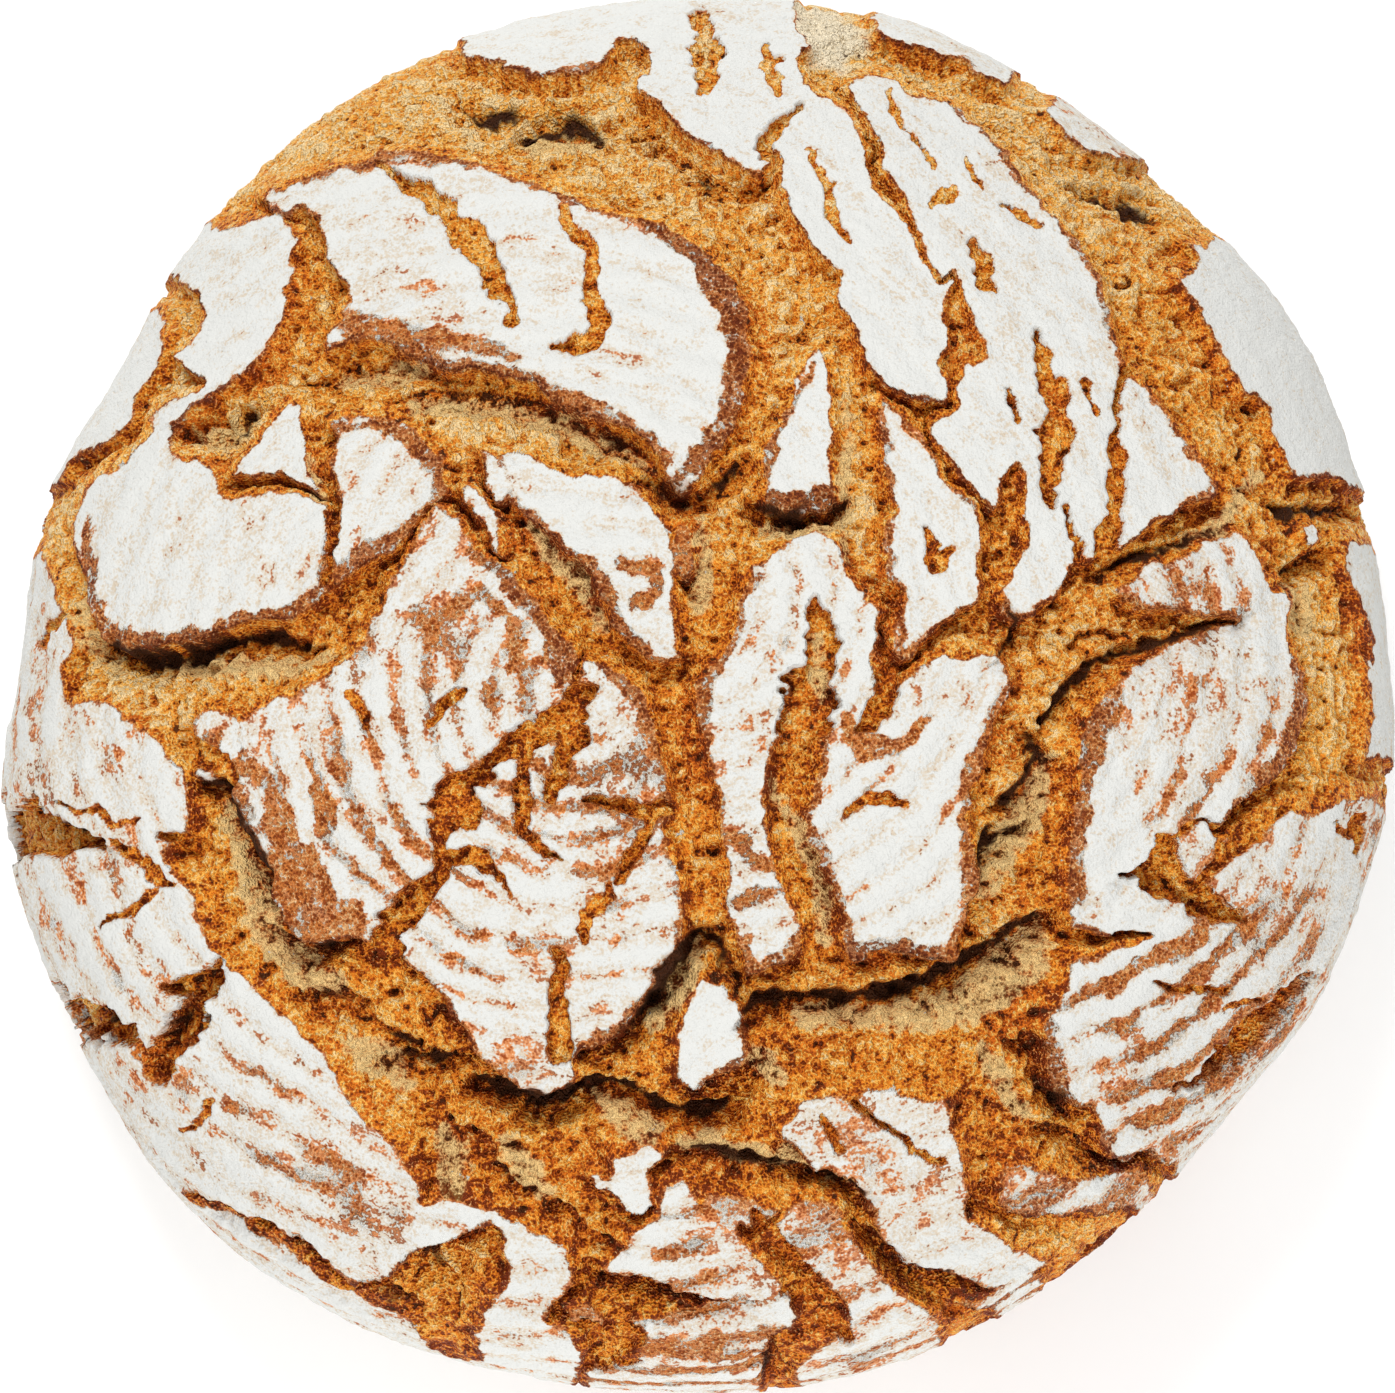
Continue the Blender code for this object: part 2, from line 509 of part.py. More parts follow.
def resample(ring, step, closed=True):
    """Evenly spaced points along a loop or line."""
    path = np.vstack((ring, ring[:1])) if closed else ring
    length = np.concatenate(((0.0,), np.cumsum(np.linalg.norm(np.diff(path, axis=0), axis=1))))
    count = max(3, int(round(length[-1] / step)))
    spots = np.linspace(0.0, length[-1], count + 1)
    if closed:
        spots = spots[:-1]
    return np.column_stack([np.interp(spots, length, path[:, axis]) for axis in (0, 1)])


def build_loaf():
    """Makes the loaf as one closed mesh with a flat sole."""
    rings = [smooth_curve(ring, True, 9.0) for ring in ISLANDS.values()]
    rings += [flank_ring(lip, 9.0) for lip in FLANKS.values()]
    bays = [smooth_curve(ring, True, 9.0) for ring in BAYS.values()]
    flat, triangles = build_net(rings, bays)
    raised = dome(flat) + outward_normals(flat) * relief(flat, rings, bays)[:, None]
    on_rim = np.hypot(flat[:, 0], flat[:, 1]) > ARC_TOTAL - 1e-5
    raised[on_rim] = dome(flat[on_rim])
    raised[on_rim, 2] = 0.0
    raised[~on_rim, 2] = np.maximum(raised[~on_rim, 2], 0.0004)
    middle = (raised.max(axis=0) + raised.min(axis=0)) / 2.0
    raised[:, :2] -= middle[:2]
    rim = np.nonzero(on_rim)[0]
    rim = rim[np.argsort(np.arctan2(flat[rim, 1], flat[rim, 0]))]
    centre = np.append(raised[rim, :2].mean(axis=0), 0.0)
    vertices = np.vstack((raised, centre))
    faces = [tuple(face) for face in triangles]
    for first, second in zip(rim, np.roll(rim, -1)):
        faces.append((int(second), int(first), len(vertices) - 1))
    mesh = bpy.data.meshes.new("loaf")
    mesh.from_pydata([tuple(vertex) for vertex in vertices], [], faces)
    mesh.validate()
    mesh.update()
    loaf = bpy.data.objects.new("loaf", mesh)
    bpy.context.scene.collection.objects.link(loaf)
    return loaf


def crust_material():
    """Matt baked crust."""
    material = bpy.data.materials.new("loaf crust")
    material.use_nodes = True
    shader = material.node_tree.nodes["Principled BSDF"]
    shader.inputs["Base Color"].default_value = CRUST_COLOUR
    shader.inputs["Roughness"].default_value = CRUST_ROUGHNESS
    return material


for item in list(bpy.data.objects):
    bpy.data.objects.remove(item)
build_loaf().data.materials.append(crust_material())
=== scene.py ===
"""Dresses the round farmhouse loaf: floured crust plates, torn cracks, a flat sole and a pale stage."""

import json
import math
from functools import partial

import bpy
import numpy as np
from bpy.props import FloatProperty, FloatVectorProperty, IntProperty, PointerProperty
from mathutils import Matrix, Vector

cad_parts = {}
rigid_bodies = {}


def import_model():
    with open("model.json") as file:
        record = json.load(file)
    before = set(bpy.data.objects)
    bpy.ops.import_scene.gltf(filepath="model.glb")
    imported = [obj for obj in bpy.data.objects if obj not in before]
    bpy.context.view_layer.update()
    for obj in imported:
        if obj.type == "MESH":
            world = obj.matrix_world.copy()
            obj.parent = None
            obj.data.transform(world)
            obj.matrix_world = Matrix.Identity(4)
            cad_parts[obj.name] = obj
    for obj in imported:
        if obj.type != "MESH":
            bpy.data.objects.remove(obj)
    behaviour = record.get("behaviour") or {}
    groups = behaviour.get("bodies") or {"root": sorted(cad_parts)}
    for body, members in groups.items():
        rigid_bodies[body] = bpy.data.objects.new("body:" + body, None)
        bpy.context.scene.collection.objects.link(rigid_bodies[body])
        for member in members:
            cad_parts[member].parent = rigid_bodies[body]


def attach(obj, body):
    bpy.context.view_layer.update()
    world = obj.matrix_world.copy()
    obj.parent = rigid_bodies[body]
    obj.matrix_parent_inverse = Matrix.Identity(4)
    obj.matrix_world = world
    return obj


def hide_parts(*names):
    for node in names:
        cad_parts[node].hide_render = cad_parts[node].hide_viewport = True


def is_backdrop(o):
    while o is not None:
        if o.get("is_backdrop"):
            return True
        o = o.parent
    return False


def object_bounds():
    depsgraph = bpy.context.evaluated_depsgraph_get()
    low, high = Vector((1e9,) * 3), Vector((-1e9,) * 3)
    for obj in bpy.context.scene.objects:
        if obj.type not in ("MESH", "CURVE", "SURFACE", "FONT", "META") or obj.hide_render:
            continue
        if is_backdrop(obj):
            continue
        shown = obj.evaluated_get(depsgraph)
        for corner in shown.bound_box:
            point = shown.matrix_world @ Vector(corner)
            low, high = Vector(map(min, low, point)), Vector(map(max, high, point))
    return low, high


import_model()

bl_info = {
    "name": "Farmhouse loaf",
    "version": (1, 0, 0),
    "blender": (4, 5, 0),
    "location": "3D View > Sidebar > Loaf",
    "description": "Builds a round rustic loaf with a burst, floured crust and a plain stage",
    "category": "Add Mesh",
}

# The view in which the outlines below are read, in pixels: x to the right, y downwards.
WIDTH_PIXELS = 1385.0
MIDDLE_X = 697.5
MIDDLE_Y = 695.5
IMAGE_WIDTH = 1395.0
SENSOR_WIDTH = 36.0

# Height of the point the camera looks at, and how far below it the girth is measured, in metres.
VIEW_TARGET_HEIGHT = 0.040
GIRTH_DROP = 0.008

# How far from an edge or stroke its distance is worked out, and the steps along curves, in pixels.
FAR = 70.0
RING_STEP = 8.0
STROKE_STEP = 12.0

# Share of the girth at which the view on top gives way to the side, and the view's scale beyond it.
SIDE_SHARE = 0.97
SIDE_GAIN = 0.80
# How far out the plates that run down the side are closed, in half widths.
FLANK_REACH = 1.7

# Steps of the dome's profile, of its flank below the girth and of its plan.
DOME_STEPS = 4000
FLANK_STEPS = 800
PLAN_STEPS = 720
PLAN_SMOOTH = 31

# Lowest height of the crust above the floor, in metres, and the pieces along its side.
CRUST_ROOM = 0.0002
SIDE_PIECES = 3
# Rings of the sole, as shares of its edge.
SOLE_SHARES = (1.0, 0.97, 0.9, 0.78, 0.6, 0.4, 0.2)

# How the ragged edges wander: grain in metres and reach in pixels, for the plates and for the paint.
WANDER = ((0.014, 2.0), (0.0055, 3.2), (0.0026, 3.4), (0.0013, 2.2))
PAINT_WANDER = ((0.004, 4.0), (0.0018, 2.5))

# Depth of a tear for each of its units, in metres, and the deepest crack with a pale floor, in millimetres.
TEAR_DEPTH = 0.00048
SHALLOW_CRACK = 2.5
# Where the cracks close on the way to the sole, and the two ends of the relief's fading, in metres.
CRACK_END = 0.048
FADE_START = 0.022
FADE_END = 0.004

# Streaks of flour: how far they stretch along the rings, and the reach of a turn in metres.
STREAK_STRETCH = 4.6
STREAK_REACH = 0.06
# Sizes of the shader's grains and flakes, in metres.
SPECK = 0.00055
FINE = 0.0011
MIDDLING = 0.0032
STREAK = 0.0066
FLAKE = 0.0036

# Cells along the side of the noise's lattice, and what keeps its places above zero.
LATTICE_SIDE = 96
LATTICE_SHIFT = 480.0
LATTICE_SPREAD = 17.31

FLOOR_HALF = 4.0

# Centre of the basket rings, where a plate has no other.
HEART = (515, 680)

# What the crust's shader reads at each point.
SHADED = ("flour", "dark", "crumb", "golden", "inward", "hollow", "wall", "tear_shade", "coarse", "warmth", "ring")

# Silhouette of the loaf, clockwise from the far end.
SILHOUETTE_PIXELS = (
    (700, 6), (800, 16), (900, 30), (1010, 82), (1120, 155), (1200, 232), (1290, 330), (1350, 470),
    (1380, 620), (1390, 760), (1366, 870), (1322, 990), (1245, 1092), (1140, 1208), (1021, 1300),
    (898, 1360), (770, 1387), (614, 1386), (456, 1358), (313, 1301), (183, 1200), (94, 1065),
    (30, 920), (4, 797), (24, 690), (48, 515), (117, 391), (201, 247), (300, 143), (400, 80), (520, 34),
)

# Plates wholly on top: flour, rim width, strength of the rings, the rings' centre, closed outline.
ISLANDS = {
    "brow": (0.86, 8, 0.45, (520, 760), (
        (262, 198), (300, 180), (345, 166), (400, 149), (455, 155), (500, 170), (560, 190), (610, 212),
        (665, 224), (712, 256), (742, 305), (748, 360), (738, 415), (712, 458), (684, 492), (668, 472),
        (655, 445), (625, 424), (580, 412), (535, 385), (485, 372), (435, 362), (400, 350), (362, 340),
        (330, 350), (336, 318), (352, 290), (332, 262), (322, 228), (300, 210), (286, 216))),
    "triangle": (1.0, 3, 0.0, HEART, (
        (299, 404), (264, 434), (240, 458), (232, 478), (274, 474), (298, 484), (318, 497), (309, 478),
        (305, 440))),
    "temple": (0.78, 8, 0.45, (620, 640), (
        (332, 424), (355, 416), (385, 415), (408, 422), (428, 442), (442, 458), (444, 478), (442, 498),
        (422, 508), (412, 523), (396, 545), (372, 562), (348, 577), (334, 584), (336, 556), (341, 530),
        (340, 505), (334, 481), (332, 462), (338, 445))),
    "low sliver": (0.85, 3, 0.0, HEART, (
        (465, 484), (478, 490), (495, 515), (499, 556), (482, 528), (466, 504))),
    "high sliver": (0.8, 4, 0.0, HEART, (
        (478, 450), (494, 458), (513, 484), (508, 495), (495, 497), (484, 472))),
    "fan": (0.78, 7, 0.5, (560, 900), (
        (498, 455), (524, 454), (550, 464), (580, 475), (612, 476), (638, 488), (656, 514), (669, 545),
        (672, 585), (676, 620), (682, 656), (660, 660), (634, 646), (614, 622), (606, 600), (594, 580),
        (578, 562), (562, 545), (545, 530), (526, 514), (510, 495), (502, 475))),
    "knob": (0.2, 12, 0.0, HEART, ((672, 530), (684, 526), (692, 545), (690, 570), (678, 577), (669, 560))),
    "north tongue": (0.97, 9, 0.1, HEART, (
        (812, 352), (824, 356), (828, 380), (832, 420), (831, 460), (834, 500), (812, 508), (788, 514),
        (768, 502), (770, 478), (764, 458), (776, 434), (786, 410), (794, 380))),
    "spur": (0.92, 6, 0.15, HEART, (
        (882, 398), (905, 420), (922, 432), (930, 458), (944, 478), (962, 492), (976, 508), (982, 540),
        (978, 560), (983, 585), (975, 602), (948, 617), (928, 634), (910, 656), (895, 652), (893, 632),
        (903, 612), (900, 592), (886, 578), (884, 545), (884, 525), (894, 508), (888, 480), (884, 450),
        (882, 425))),
    "shield": (0.93, 6, 0.15, (380, 760), (
        (848, 86), (866, 76), (892, 78), (918, 96), (952, 103), (986, 130), (1016, 170), (1044, 206),
        (1064, 224), (1094, 272), (1110, 322), (1122, 362), (1150, 392), (1180, 432), (1204, 468),
        (1216, 492), (1196, 502), (1172, 510), (1150, 524), (1120, 552), (1106, 536), (1092, 560),
        (1078, 562), (1066, 578), (1050, 600), (1022, 622), (1000, 612), (1008, 584), (1024, 556),
        (1026, 520), (1026, 480), (1018, 466), (1004, 482), (996, 508), (978, 496), (962, 478),
        (944, 458), (936, 438), (938, 418), (958, 408), (960, 385), (970, 362), (982, 356), (978, 330),
        (966, 300), (954, 272), (938, 276), (926, 248), (910, 218), (902, 196), (888, 178), (884, 150),
        (868, 128), (856, 104))),
    "slab": (0.75, 12, 0.62, (680, 590), (
        (780, 548), (792, 540), (815, 530), (836, 544), (842, 566), (858, 588), (876, 606), (880, 622),
        (874, 650), (874, 676), (882, 690), (904, 678), (924, 660), (946, 654), (975, 656), (1000, 652),
        (1010, 672), (1004, 700), (990, 740), (976, 780), (968, 815), (974, 850), (982, 880), (968, 905),
        (960, 935), (954, 962), (915, 956), (880, 950), (850, 956), (844, 930), (842, 905), (834, 882),
        (820, 856), (808, 838), (806, 812), (814, 780), (822, 745), (826, 712), (826, 690), (820, 700),
        (808, 716), (792, 702), (780, 730), (768, 770), (766, 815), (772, 852), (786, 890), (800, 925),
        (794, 955), (770, 964), (750, 974), (740, 950), (732, 925), (726, 890), (728, 856), (722, 818),
        (714, 770), (706, 730), (696, 690), (716, 662), (728, 635), (738, 605), (746, 575), (762, 560))),
    "low north": (0.93, 7, 0.1, HEART, (
        (706, 978), (720, 986), (732, 1003), (742, 1020), (744, 1062), (726, 1074), (700, 1090), (686, 1084),
        (675, 1062), (679, 1035), (685, 1008), (694, 988))),
    "crown": (0.68, 6, 0.6, (575, 695), (
        (428, 508), (442, 508), (458, 520), (470, 542), (490, 556), (508, 570), (534, 595), (545, 616),
        (562, 636), (578, 654), (570, 676), (576, 690), (584, 662), (604, 666), (628, 680), (648, 702),
        (655, 738), (664, 780), (670, 810), (664, 838), (676, 880), (684, 928), (672, 965), (646, 996),
        (626, 1024), (606, 1044), (578, 1052), (576, 1082), (542, 1098), (515, 1084), (480, 1056),
        (456, 1018), (430, 984), (404, 960), (382, 958), (354, 936), (325, 944), (300, 938), (276, 905),
        (264, 868), (246, 838), (230, 804), (216, 783), (198, 778), (198, 745), (196, 714), (214, 706),
        (240, 720), (266, 706), (300, 690), (335, 668), (356, 645), (380, 606), (400, 564))),
    "patch": (0.68, 5, 0.35, (700, 500), (
        (812, 1097), (850, 1098), (868, 1090), (920, 1096), (948, 1100), (950, 1122), (960, 1145),
        (966, 1170), (970, 1195), (964, 1215), (985, 1228), (1015, 1245), (1040, 1258), (1050, 1272),
        (1000, 1285), (965, 1278), (930, 1272), (905, 1264), (886, 1242), (874, 1212), (858, 1192),
        (838, 1178), (808, 1172), (798, 1150), (778, 1140), (784, 1122), (798, 1110))),
    "crumb": (0.85, 3, 0.0, HEART, (
        (613, 1160), (634, 1151), (652, 1144), (664, 1150), (661, 1162), (648, 1172), (650, 1190),
        (654, 1204), (642, 1212), (626, 1210), (618, 1192), (597, 1186), (592, 1172), (608, 1178))),
    "pebble": (0.95, 2, 0.0, HEART, ((1304, 526), (1314, 520), (1320, 535), (1314, 548), (1306, 540))),
}

# Plates that run on down the side: the same, with the inner lip only, silhouette to silhouette.
FLANKS = {
    "north west cheek": (0.9, 6, 0.4, (520, 690), (
        (219, 229), (248, 221), (277, 212), (290, 228), (298, 240), (290, 258), (296, 272), (288, 290),
        (288, 318), (274, 336), (266, 352), (248, 370), (222, 392), (190, 412), (172, 438), (182, 456),
        (206, 460), (220, 482), (218, 494), (246, 495), (290, 494), (318, 506), (326, 528), (330, 556),
        (326, 590), (300, 616), (250, 624), (200, 636), (160, 646), (118, 648), (102, 634), (92, 604),
        (84, 572), (74, 545), (80, 508), (90, 482), (128, 458), (146, 438), (158, 410), (180, 396),
        (204, 384), (182, 366), (180, 352), (200, 336), (204, 304), (190, 294), (180, 280))),
    "north cap": (0.97, 4, 0.1, HEART, (
        (462, 40), (466, 56), (505, 64), (552, 74), (590, 70), (612, 56), (618, 40), (640, 40), (652, 66),
        (640, 84), (664, 108), (690, 134), (722, 152), (760, 172), (772, 150), (780, 160), (782, 186),
        (795, 218), (818, 252), (840, 278), (834, 298), (850, 322), (862, 356), (870, 378), (893, 390),
        (918, 400), (942, 402), (950, 384), (938, 362), (946, 340), (944, 304), (952, 276), (936, 280),
        (918, 245), (898, 216), (878, 196), (866, 172), (868, 150), (850, 120), (836, 104), (814, 94),
        (798, 66), (812, 48), (802, 34), (795, 16))),
    "north east rim": (0.9, 3, 0.0, HEART, ((872, 18), (882, 36), (921, 50), (966, 66), (1006, 88))),
    "north east fringe": (0.72, 3, 0.0, HEART, ((1046, 112), (1064, 134), (1100, 154), (1142, 160))),
    "east rim": (0.97, 4, 0.0, HEART, (
        (1208, 246), (1192, 244), (1198, 262), (1178, 284), (1196, 310), (1222, 350), (1240, 385),
        (1268, 412), (1290, 466), (1304, 474), (1330, 476), (1352, 488))),
    "east strip": (0.95, 3, 0.0, HEART, (
        (1364, 545), (1348, 542), (1346, 560), (1356, 590), (1368, 634), (1369, 690), (1368, 735),
        (1360, 760), (1384, 754))),
    "south east": (0.7, 10, 0.75, (930, 650), (
        (1384, 800), (1345, 796), (1310, 812), (1286, 806), (1268, 818), (1222, 838), (1212, 832),
        (1236, 806), (1262, 784), (1284, 766), (1302, 735), (1304, 690), (1292, 645), (1286, 618),
        (1288, 598), (1262, 578), (1246, 540), (1226, 530), (1204, 540), (1188, 554), (1150, 562),
        (1126, 584), (1110, 592), (1140, 606), (1200, 614), (1240, 614), (1192, 636), (1160, 650),
        (1130, 668), (1100, 698), (1082, 745), (1078, 800), (1068, 850), (1070, 900), (1078, 930),
        (1150, 932), (1140, 942), (1100, 950), (1076, 962), (1060, 1000), (1046, 1022), (1052, 1062),
        (1068, 1100), (1094, 1110), (1104, 1140), (1122, 1166), (1150, 1156), (1182, 1168))),
    "low fold": (0.5, 5, 0.7, (760, 500), (
        (1156, 1186), (1140, 1172), (1080, 1182), (1030, 1165), (1006, 1172), (1000, 1190), (1010, 1212),
        (1060, 1215), (1110, 1212), (1142, 1208))),
    "south flap": (0.5, 5, 0.6, (600, 600), (
        (1046, 1284), (1020, 1270), (985, 1296), (955, 1300), (990, 1312), (1000, 1313))),
    "south tongue": (0.62, 5, 0.6, (560, 600), (
        (948, 1348), (936, 1320), (905, 1296), (880, 1272), (864, 1252), (850, 1232), (838, 1205),
        (800, 1200), (772, 1230), (790, 1258), (820, 1276), (842, 1296), (850, 1322), (830, 1338),
        (812, 1352), (800, 1384))),
    "south hem": (0.60, 5, 0.75, (600, 600), (
        (762, 1388), (766, 1352), (770, 1335), (790, 1325), (795, 1305), (775, 1275), (752, 1250),
        (742, 1228), (764, 1222), (778, 1208), (745, 1200), (706, 1194), (698, 1212), (690, 1185),
        (662, 1186), (656, 1216), (632, 1232), (610, 1258), (600, 1270), (650, 1284), (700, 1298),
        (730, 1300), (690, 1310), (650, 1318), (612, 1318), (590, 1300), (566, 1312), (590, 1322),
        (612, 1330), (640, 1325), (636, 1360), (600, 1375), (584, 1380))),
    "south west": (0.74, 5, 0.6, (550, 690), (
        (574, 1378), (580, 1350), (568, 1335), (545, 1316), (566, 1292), (571, 1272), (558, 1244),
        (530, 1226), (490, 1208), (450, 1196), (420, 1202), (418, 1182), (400, 1152), (370, 1124),
        (340, 1084), (326, 1052), (300, 1028), (262, 994), (224, 964), (204, 922), (186, 892), (166, 862),
        (170, 840), (186, 830), (186, 780), (168, 750), (135, 722), (108, 700), (82, 700), (70, 702),
        (66, 680), (68, 660), (75, 643), (58, 606), (54, 584), (40, 550))),
    "south west rim": (0.85, 3, 0.3, (550, 690), (
        (199, 1216), (206, 1208), (232, 1230), (262, 1254), (300, 1272), (318, 1284), (360, 1306),
        (400, 1322), (424, 1350), (436, 1358))),
    "west strip": (0.9, 3, 0.2, (520, 690), (
        (60, 480), (80, 458), (108, 441), (132, 422), (138, 404), (147, 386), (160, 362), (168, 344),
        (163, 312))),
}

# Torn openings inside a plate, each a closed ring.
BAYS = {
    "south west bay": (
        (446, 1244), (474, 1226), (492, 1220), (505, 1234), (504, 1256), (509, 1272), (504, 1288),
        (484, 1317), (476, 1330), (470, 1380), (420, 1400), (414, 1333), (360, 1300), (320, 1278),
        (300, 1258), (260, 1236), (220, 1216), (170, 1210), (182, 1194), (230, 1206), (290, 1236),
        (330, 1262), (360, 1284), (392, 1270), (412, 1250)),
}

# Cracks across a plate: depth in millimetres, then x, y and width along the crack.
CRACKS = {
    "brow split": (2.0, ((381, 163, 4), (400, 176, 14), (430, 196, 22), (460, 226, 26), (482, 260, 28),
                         (500, 288, 20), (516, 306, 8), (512, 322, 10))),
    "brow seam": (1.5, ((566, 205, 8), (568, 225, 12), (592, 246, 10), (594, 268, 16), (590, 290, 14),
                        (602, 320, 14), (592, 338, 14), (552, 344, 10))),
    "cap bite": (1.5, ((697, 16, 20), (708, 45, 30), (710, 72, 24), (702, 94, 6))),
    "cap scar": (1.0, ((765, 40, 6), (772, 66, 18), (776, 92, 6))),
    "cap nick": (2.5, ((802, 108, 3), (788, 118, 10), (772, 134, 16), (764, 156, 12))),
    "cap hook": (1.2, ((806, 150, 3), (825, 172, 10), (833, 184, 12), (829, 204, 10), (833, 226, 8),
                       (850, 240, 4))),
    "shield comb": (1.0, ((888, 92, 5), (894, 110, 9), (900, 124, 4), (916, 138, 4), (932, 162, 6))),
    "shield cut": (1.0, ((965, 157, 3), (975, 175, 5), (986, 186, 2))),
    "shield scab": (0.8, ((934, 205, 6), (948, 192, 16), (954, 186, 10))),
    "shield slot": (2.0, ((970, 242, 4), (980, 256, 14), (986, 276, 12), (998, 290, 3))),
    "shield seam": (1.0, ((1004, 202, 2), (1022, 212, 6), (1042, 224, 2))),
    "shield lens": (2.5, ((1034, 330, 4), (1044, 360, 14), (1052, 385, 22), (1057, 420, 28), (1056, 450, 26),
                          (1052, 482, 18), (1056, 506, 4))),
    "shield nick": (1.5, ((1008, 382, 4), (1013, 400, 10), (1020, 420, 4))),
    "shield dash": (1.2, ((1088, 384, 8), (1094, 412, 6))),
    "shield spear": (2.5, ((1128, 368, 8), (1118, 392, 5), (1117, 430, 5), (1121, 455, 16), (1119, 485, 16),
                           (1114, 512, 20), (1104, 548, 26))),
    "shield foot": (1.5, ((1068, 505, 5), (1074, 530, 8), (1082, 556, 12))),
    "spur scab": (0.8, ((925, 528, 4), (936, 545, 14), (938, 566, 16), (952, 548, 4))),
    "slab lens": (4.0, ((814, 604, 8), (820, 625, 26), (818, 655, 36), (812, 690, 46), (806, 720, 50))),
    "slab channel": (3.0, ((886, 672, 20), (884, 700, 20), (872, 722, 18), (860, 730, 6))),
    "slab arch": (1.2, ((846, 816, 3), (856, 806, 8), (880, 798, 12), (906, 802, 6))),
    "cheek split": (2.0, ((324, 505, 4), (332, 530, 12), (330, 560, 12), (324, 580, 10))),
    "crown channel": (2.8, ((588, 694, 20), (562, 712, 34), (534, 732, 34), (508, 750, 24), (484, 768, 22),
                            (458, 790, 46), (448, 815, 44), (438, 838, 14), (440, 862, 20), (420, 892, 26),
                            (398, 922, 30), (380, 948, 34))),
    "crown branch": (2.0, ((440, 860, 16), (470, 856, 18), (498, 876, 6), (508, 896, 3))),
    "crown cleft": (2.5, ((530, 735, 10), (522, 762, 14), (518, 800, 22), (530, 836, 12), (558, 862, 4))),
    "crown pit": (2.5, ((572, 735, 22), (562, 760, 20), (552, 782, 18), (548, 800, 8))),
    "crown bar": (2.0, ((584, 797, 3), (616, 800, 10), (646, 806, 16), (668, 806, 12))),
    "crown stem": (2.0, ((652, 812, 12), (644, 835, 12), (630, 858, 12), (620, 878, 8))),
    "crown thorn": (1.2, ((607, 880, 6), (610, 898, 12), (588, 912, 14), (584, 940, 8))),
    "crown gap": (3.0, ((555, 950, 6), (562, 966, 16), (557, 985, 12), (561, 1010, 18), (562, 1052, 26))),
    "crown twig": (1.2, ((352, 690, 8), (358, 708, 12), (367, 726, 5))),
    "crown nib": (1.2, ((465, 690, 8), (448, 700, 14), (427, 724, 4))),
    "crown west": (2.0, ((190, 745, 24), (222, 765, 20), (215, 790, 20))),
    "west gash": (5.0, ((-40, 832, 90), (16, 833, 62), (52, 838, 34), (80, 842, 16), (104, 844, 4))),
    "west thread": (1.0, ((58, 804, 3), (80, 811, 6), (96, 810, 5), (114, 822, 5), (133, 819, 3))),
    "west seam": (1.5, ((112, 838, 4), (124, 852, 10), (150, 866, 14), (160, 882, 12), (172, 888, 4))),
    "west fork": (1.2, ((152, 890, 5), (138, 903, 8), (124, 912, 6), (101, 925, 3))),
    "west notch": (2.5, ((160, 836, 6), (174, 835, 10), (190, 838, 12))),
    "west pocket": (4.5, ((218, 966, 8), (198, 990, 36), (182, 1015, 40), (168, 1045, 30), (161, 1072, 20),
                          (160, 1086, 8))),
    "west mouth": (5.0, ((20, 1035, 80), (62, 1020, 52), (100, 1029, 40), (122, 1036, 20), (134, 1022, 3))),
    "west tail": (1.0, ((128, 1042, 4), (146, 1060, 10), (156, 1080, 6))),
    "west comma": (1.0, ((182, 1130, 3), (200, 1120, 7), (208, 1100, 5))),
    "strip nick": (1.5, ((58, 616, 6), (50, 630, 8), (40, 642, 5))),
    "hem gap": (2.5, ((585, 1292, 6), (616, 1318, 36), (612, 1345, 46), (598, 1366, 30))),
    "hem fork": (2.5, ((757, 1214, 6), (768, 1226, 14), (780, 1250, 26), (800, 1282, 30), (828, 1312, 26),
                       (850, 1338, 10))),
    "tongue fork": (2.5, ((846, 1180, 6), (858, 1200, 14), (866, 1224, 22), (884, 1252, 18), (906, 1276, 14),
                          (936, 1300, 12), (960, 1320, 20))),
    "patch slash": (1.5, ((822, 1114, 3), (830, 1135, 9), (840, 1150, 7))),
    "patch seam": (1.5, ((855, 1100, 6), (876, 1118, 6), (896, 1130, 7), (918, 1152, 8), (940, 1160, 6))),
    "east star": (3.5, ((1122, 879, 4), (1142, 871, 8), (1160, 870, 34), (1166, 852, 30), (1164, 842, 24))),
    "east star foot": (3.0, ((1160, 875, 40), (1185, 890, 36), (1210, 903, 26), (1240, 918, 10))),
    "east star arm": (1.5, ((1200, 885, 12), (1214, 866, 14), (1228, 848, 20), (1262, 822, 24),
                            (1290, 806, 12))),
    "east thread": (1.5, ((1178, 834, 4), (1190, 827, 5), (1208, 822, 6), (1216, 832, 8))),
    "east bar": (1.5, ((1160, 982, 3), (1184, 988, 8), (1210, 988, 6), (1232, 990, 4))),
    "east dash": (1.2, ((1226, 1007, 3), (1244, 1001, 6), (1264, 996, 3))),
    "east gill": (4.0, ((1322, 968, 6), (1302, 990, 24), (1276, 1016, 26), (1248, 1038, 28), (1222, 1062, 18),
                        (1198, 1078, 10), (1178, 1088, 4))),
    "east fang": (2.5, ((1366, 812, 4), (1358, 826, 16), (1356, 850, 6))),
    "east fringe": (1.5, ((1334, 822, 3), (1348, 834, 8), (1362, 824, 6))),
}
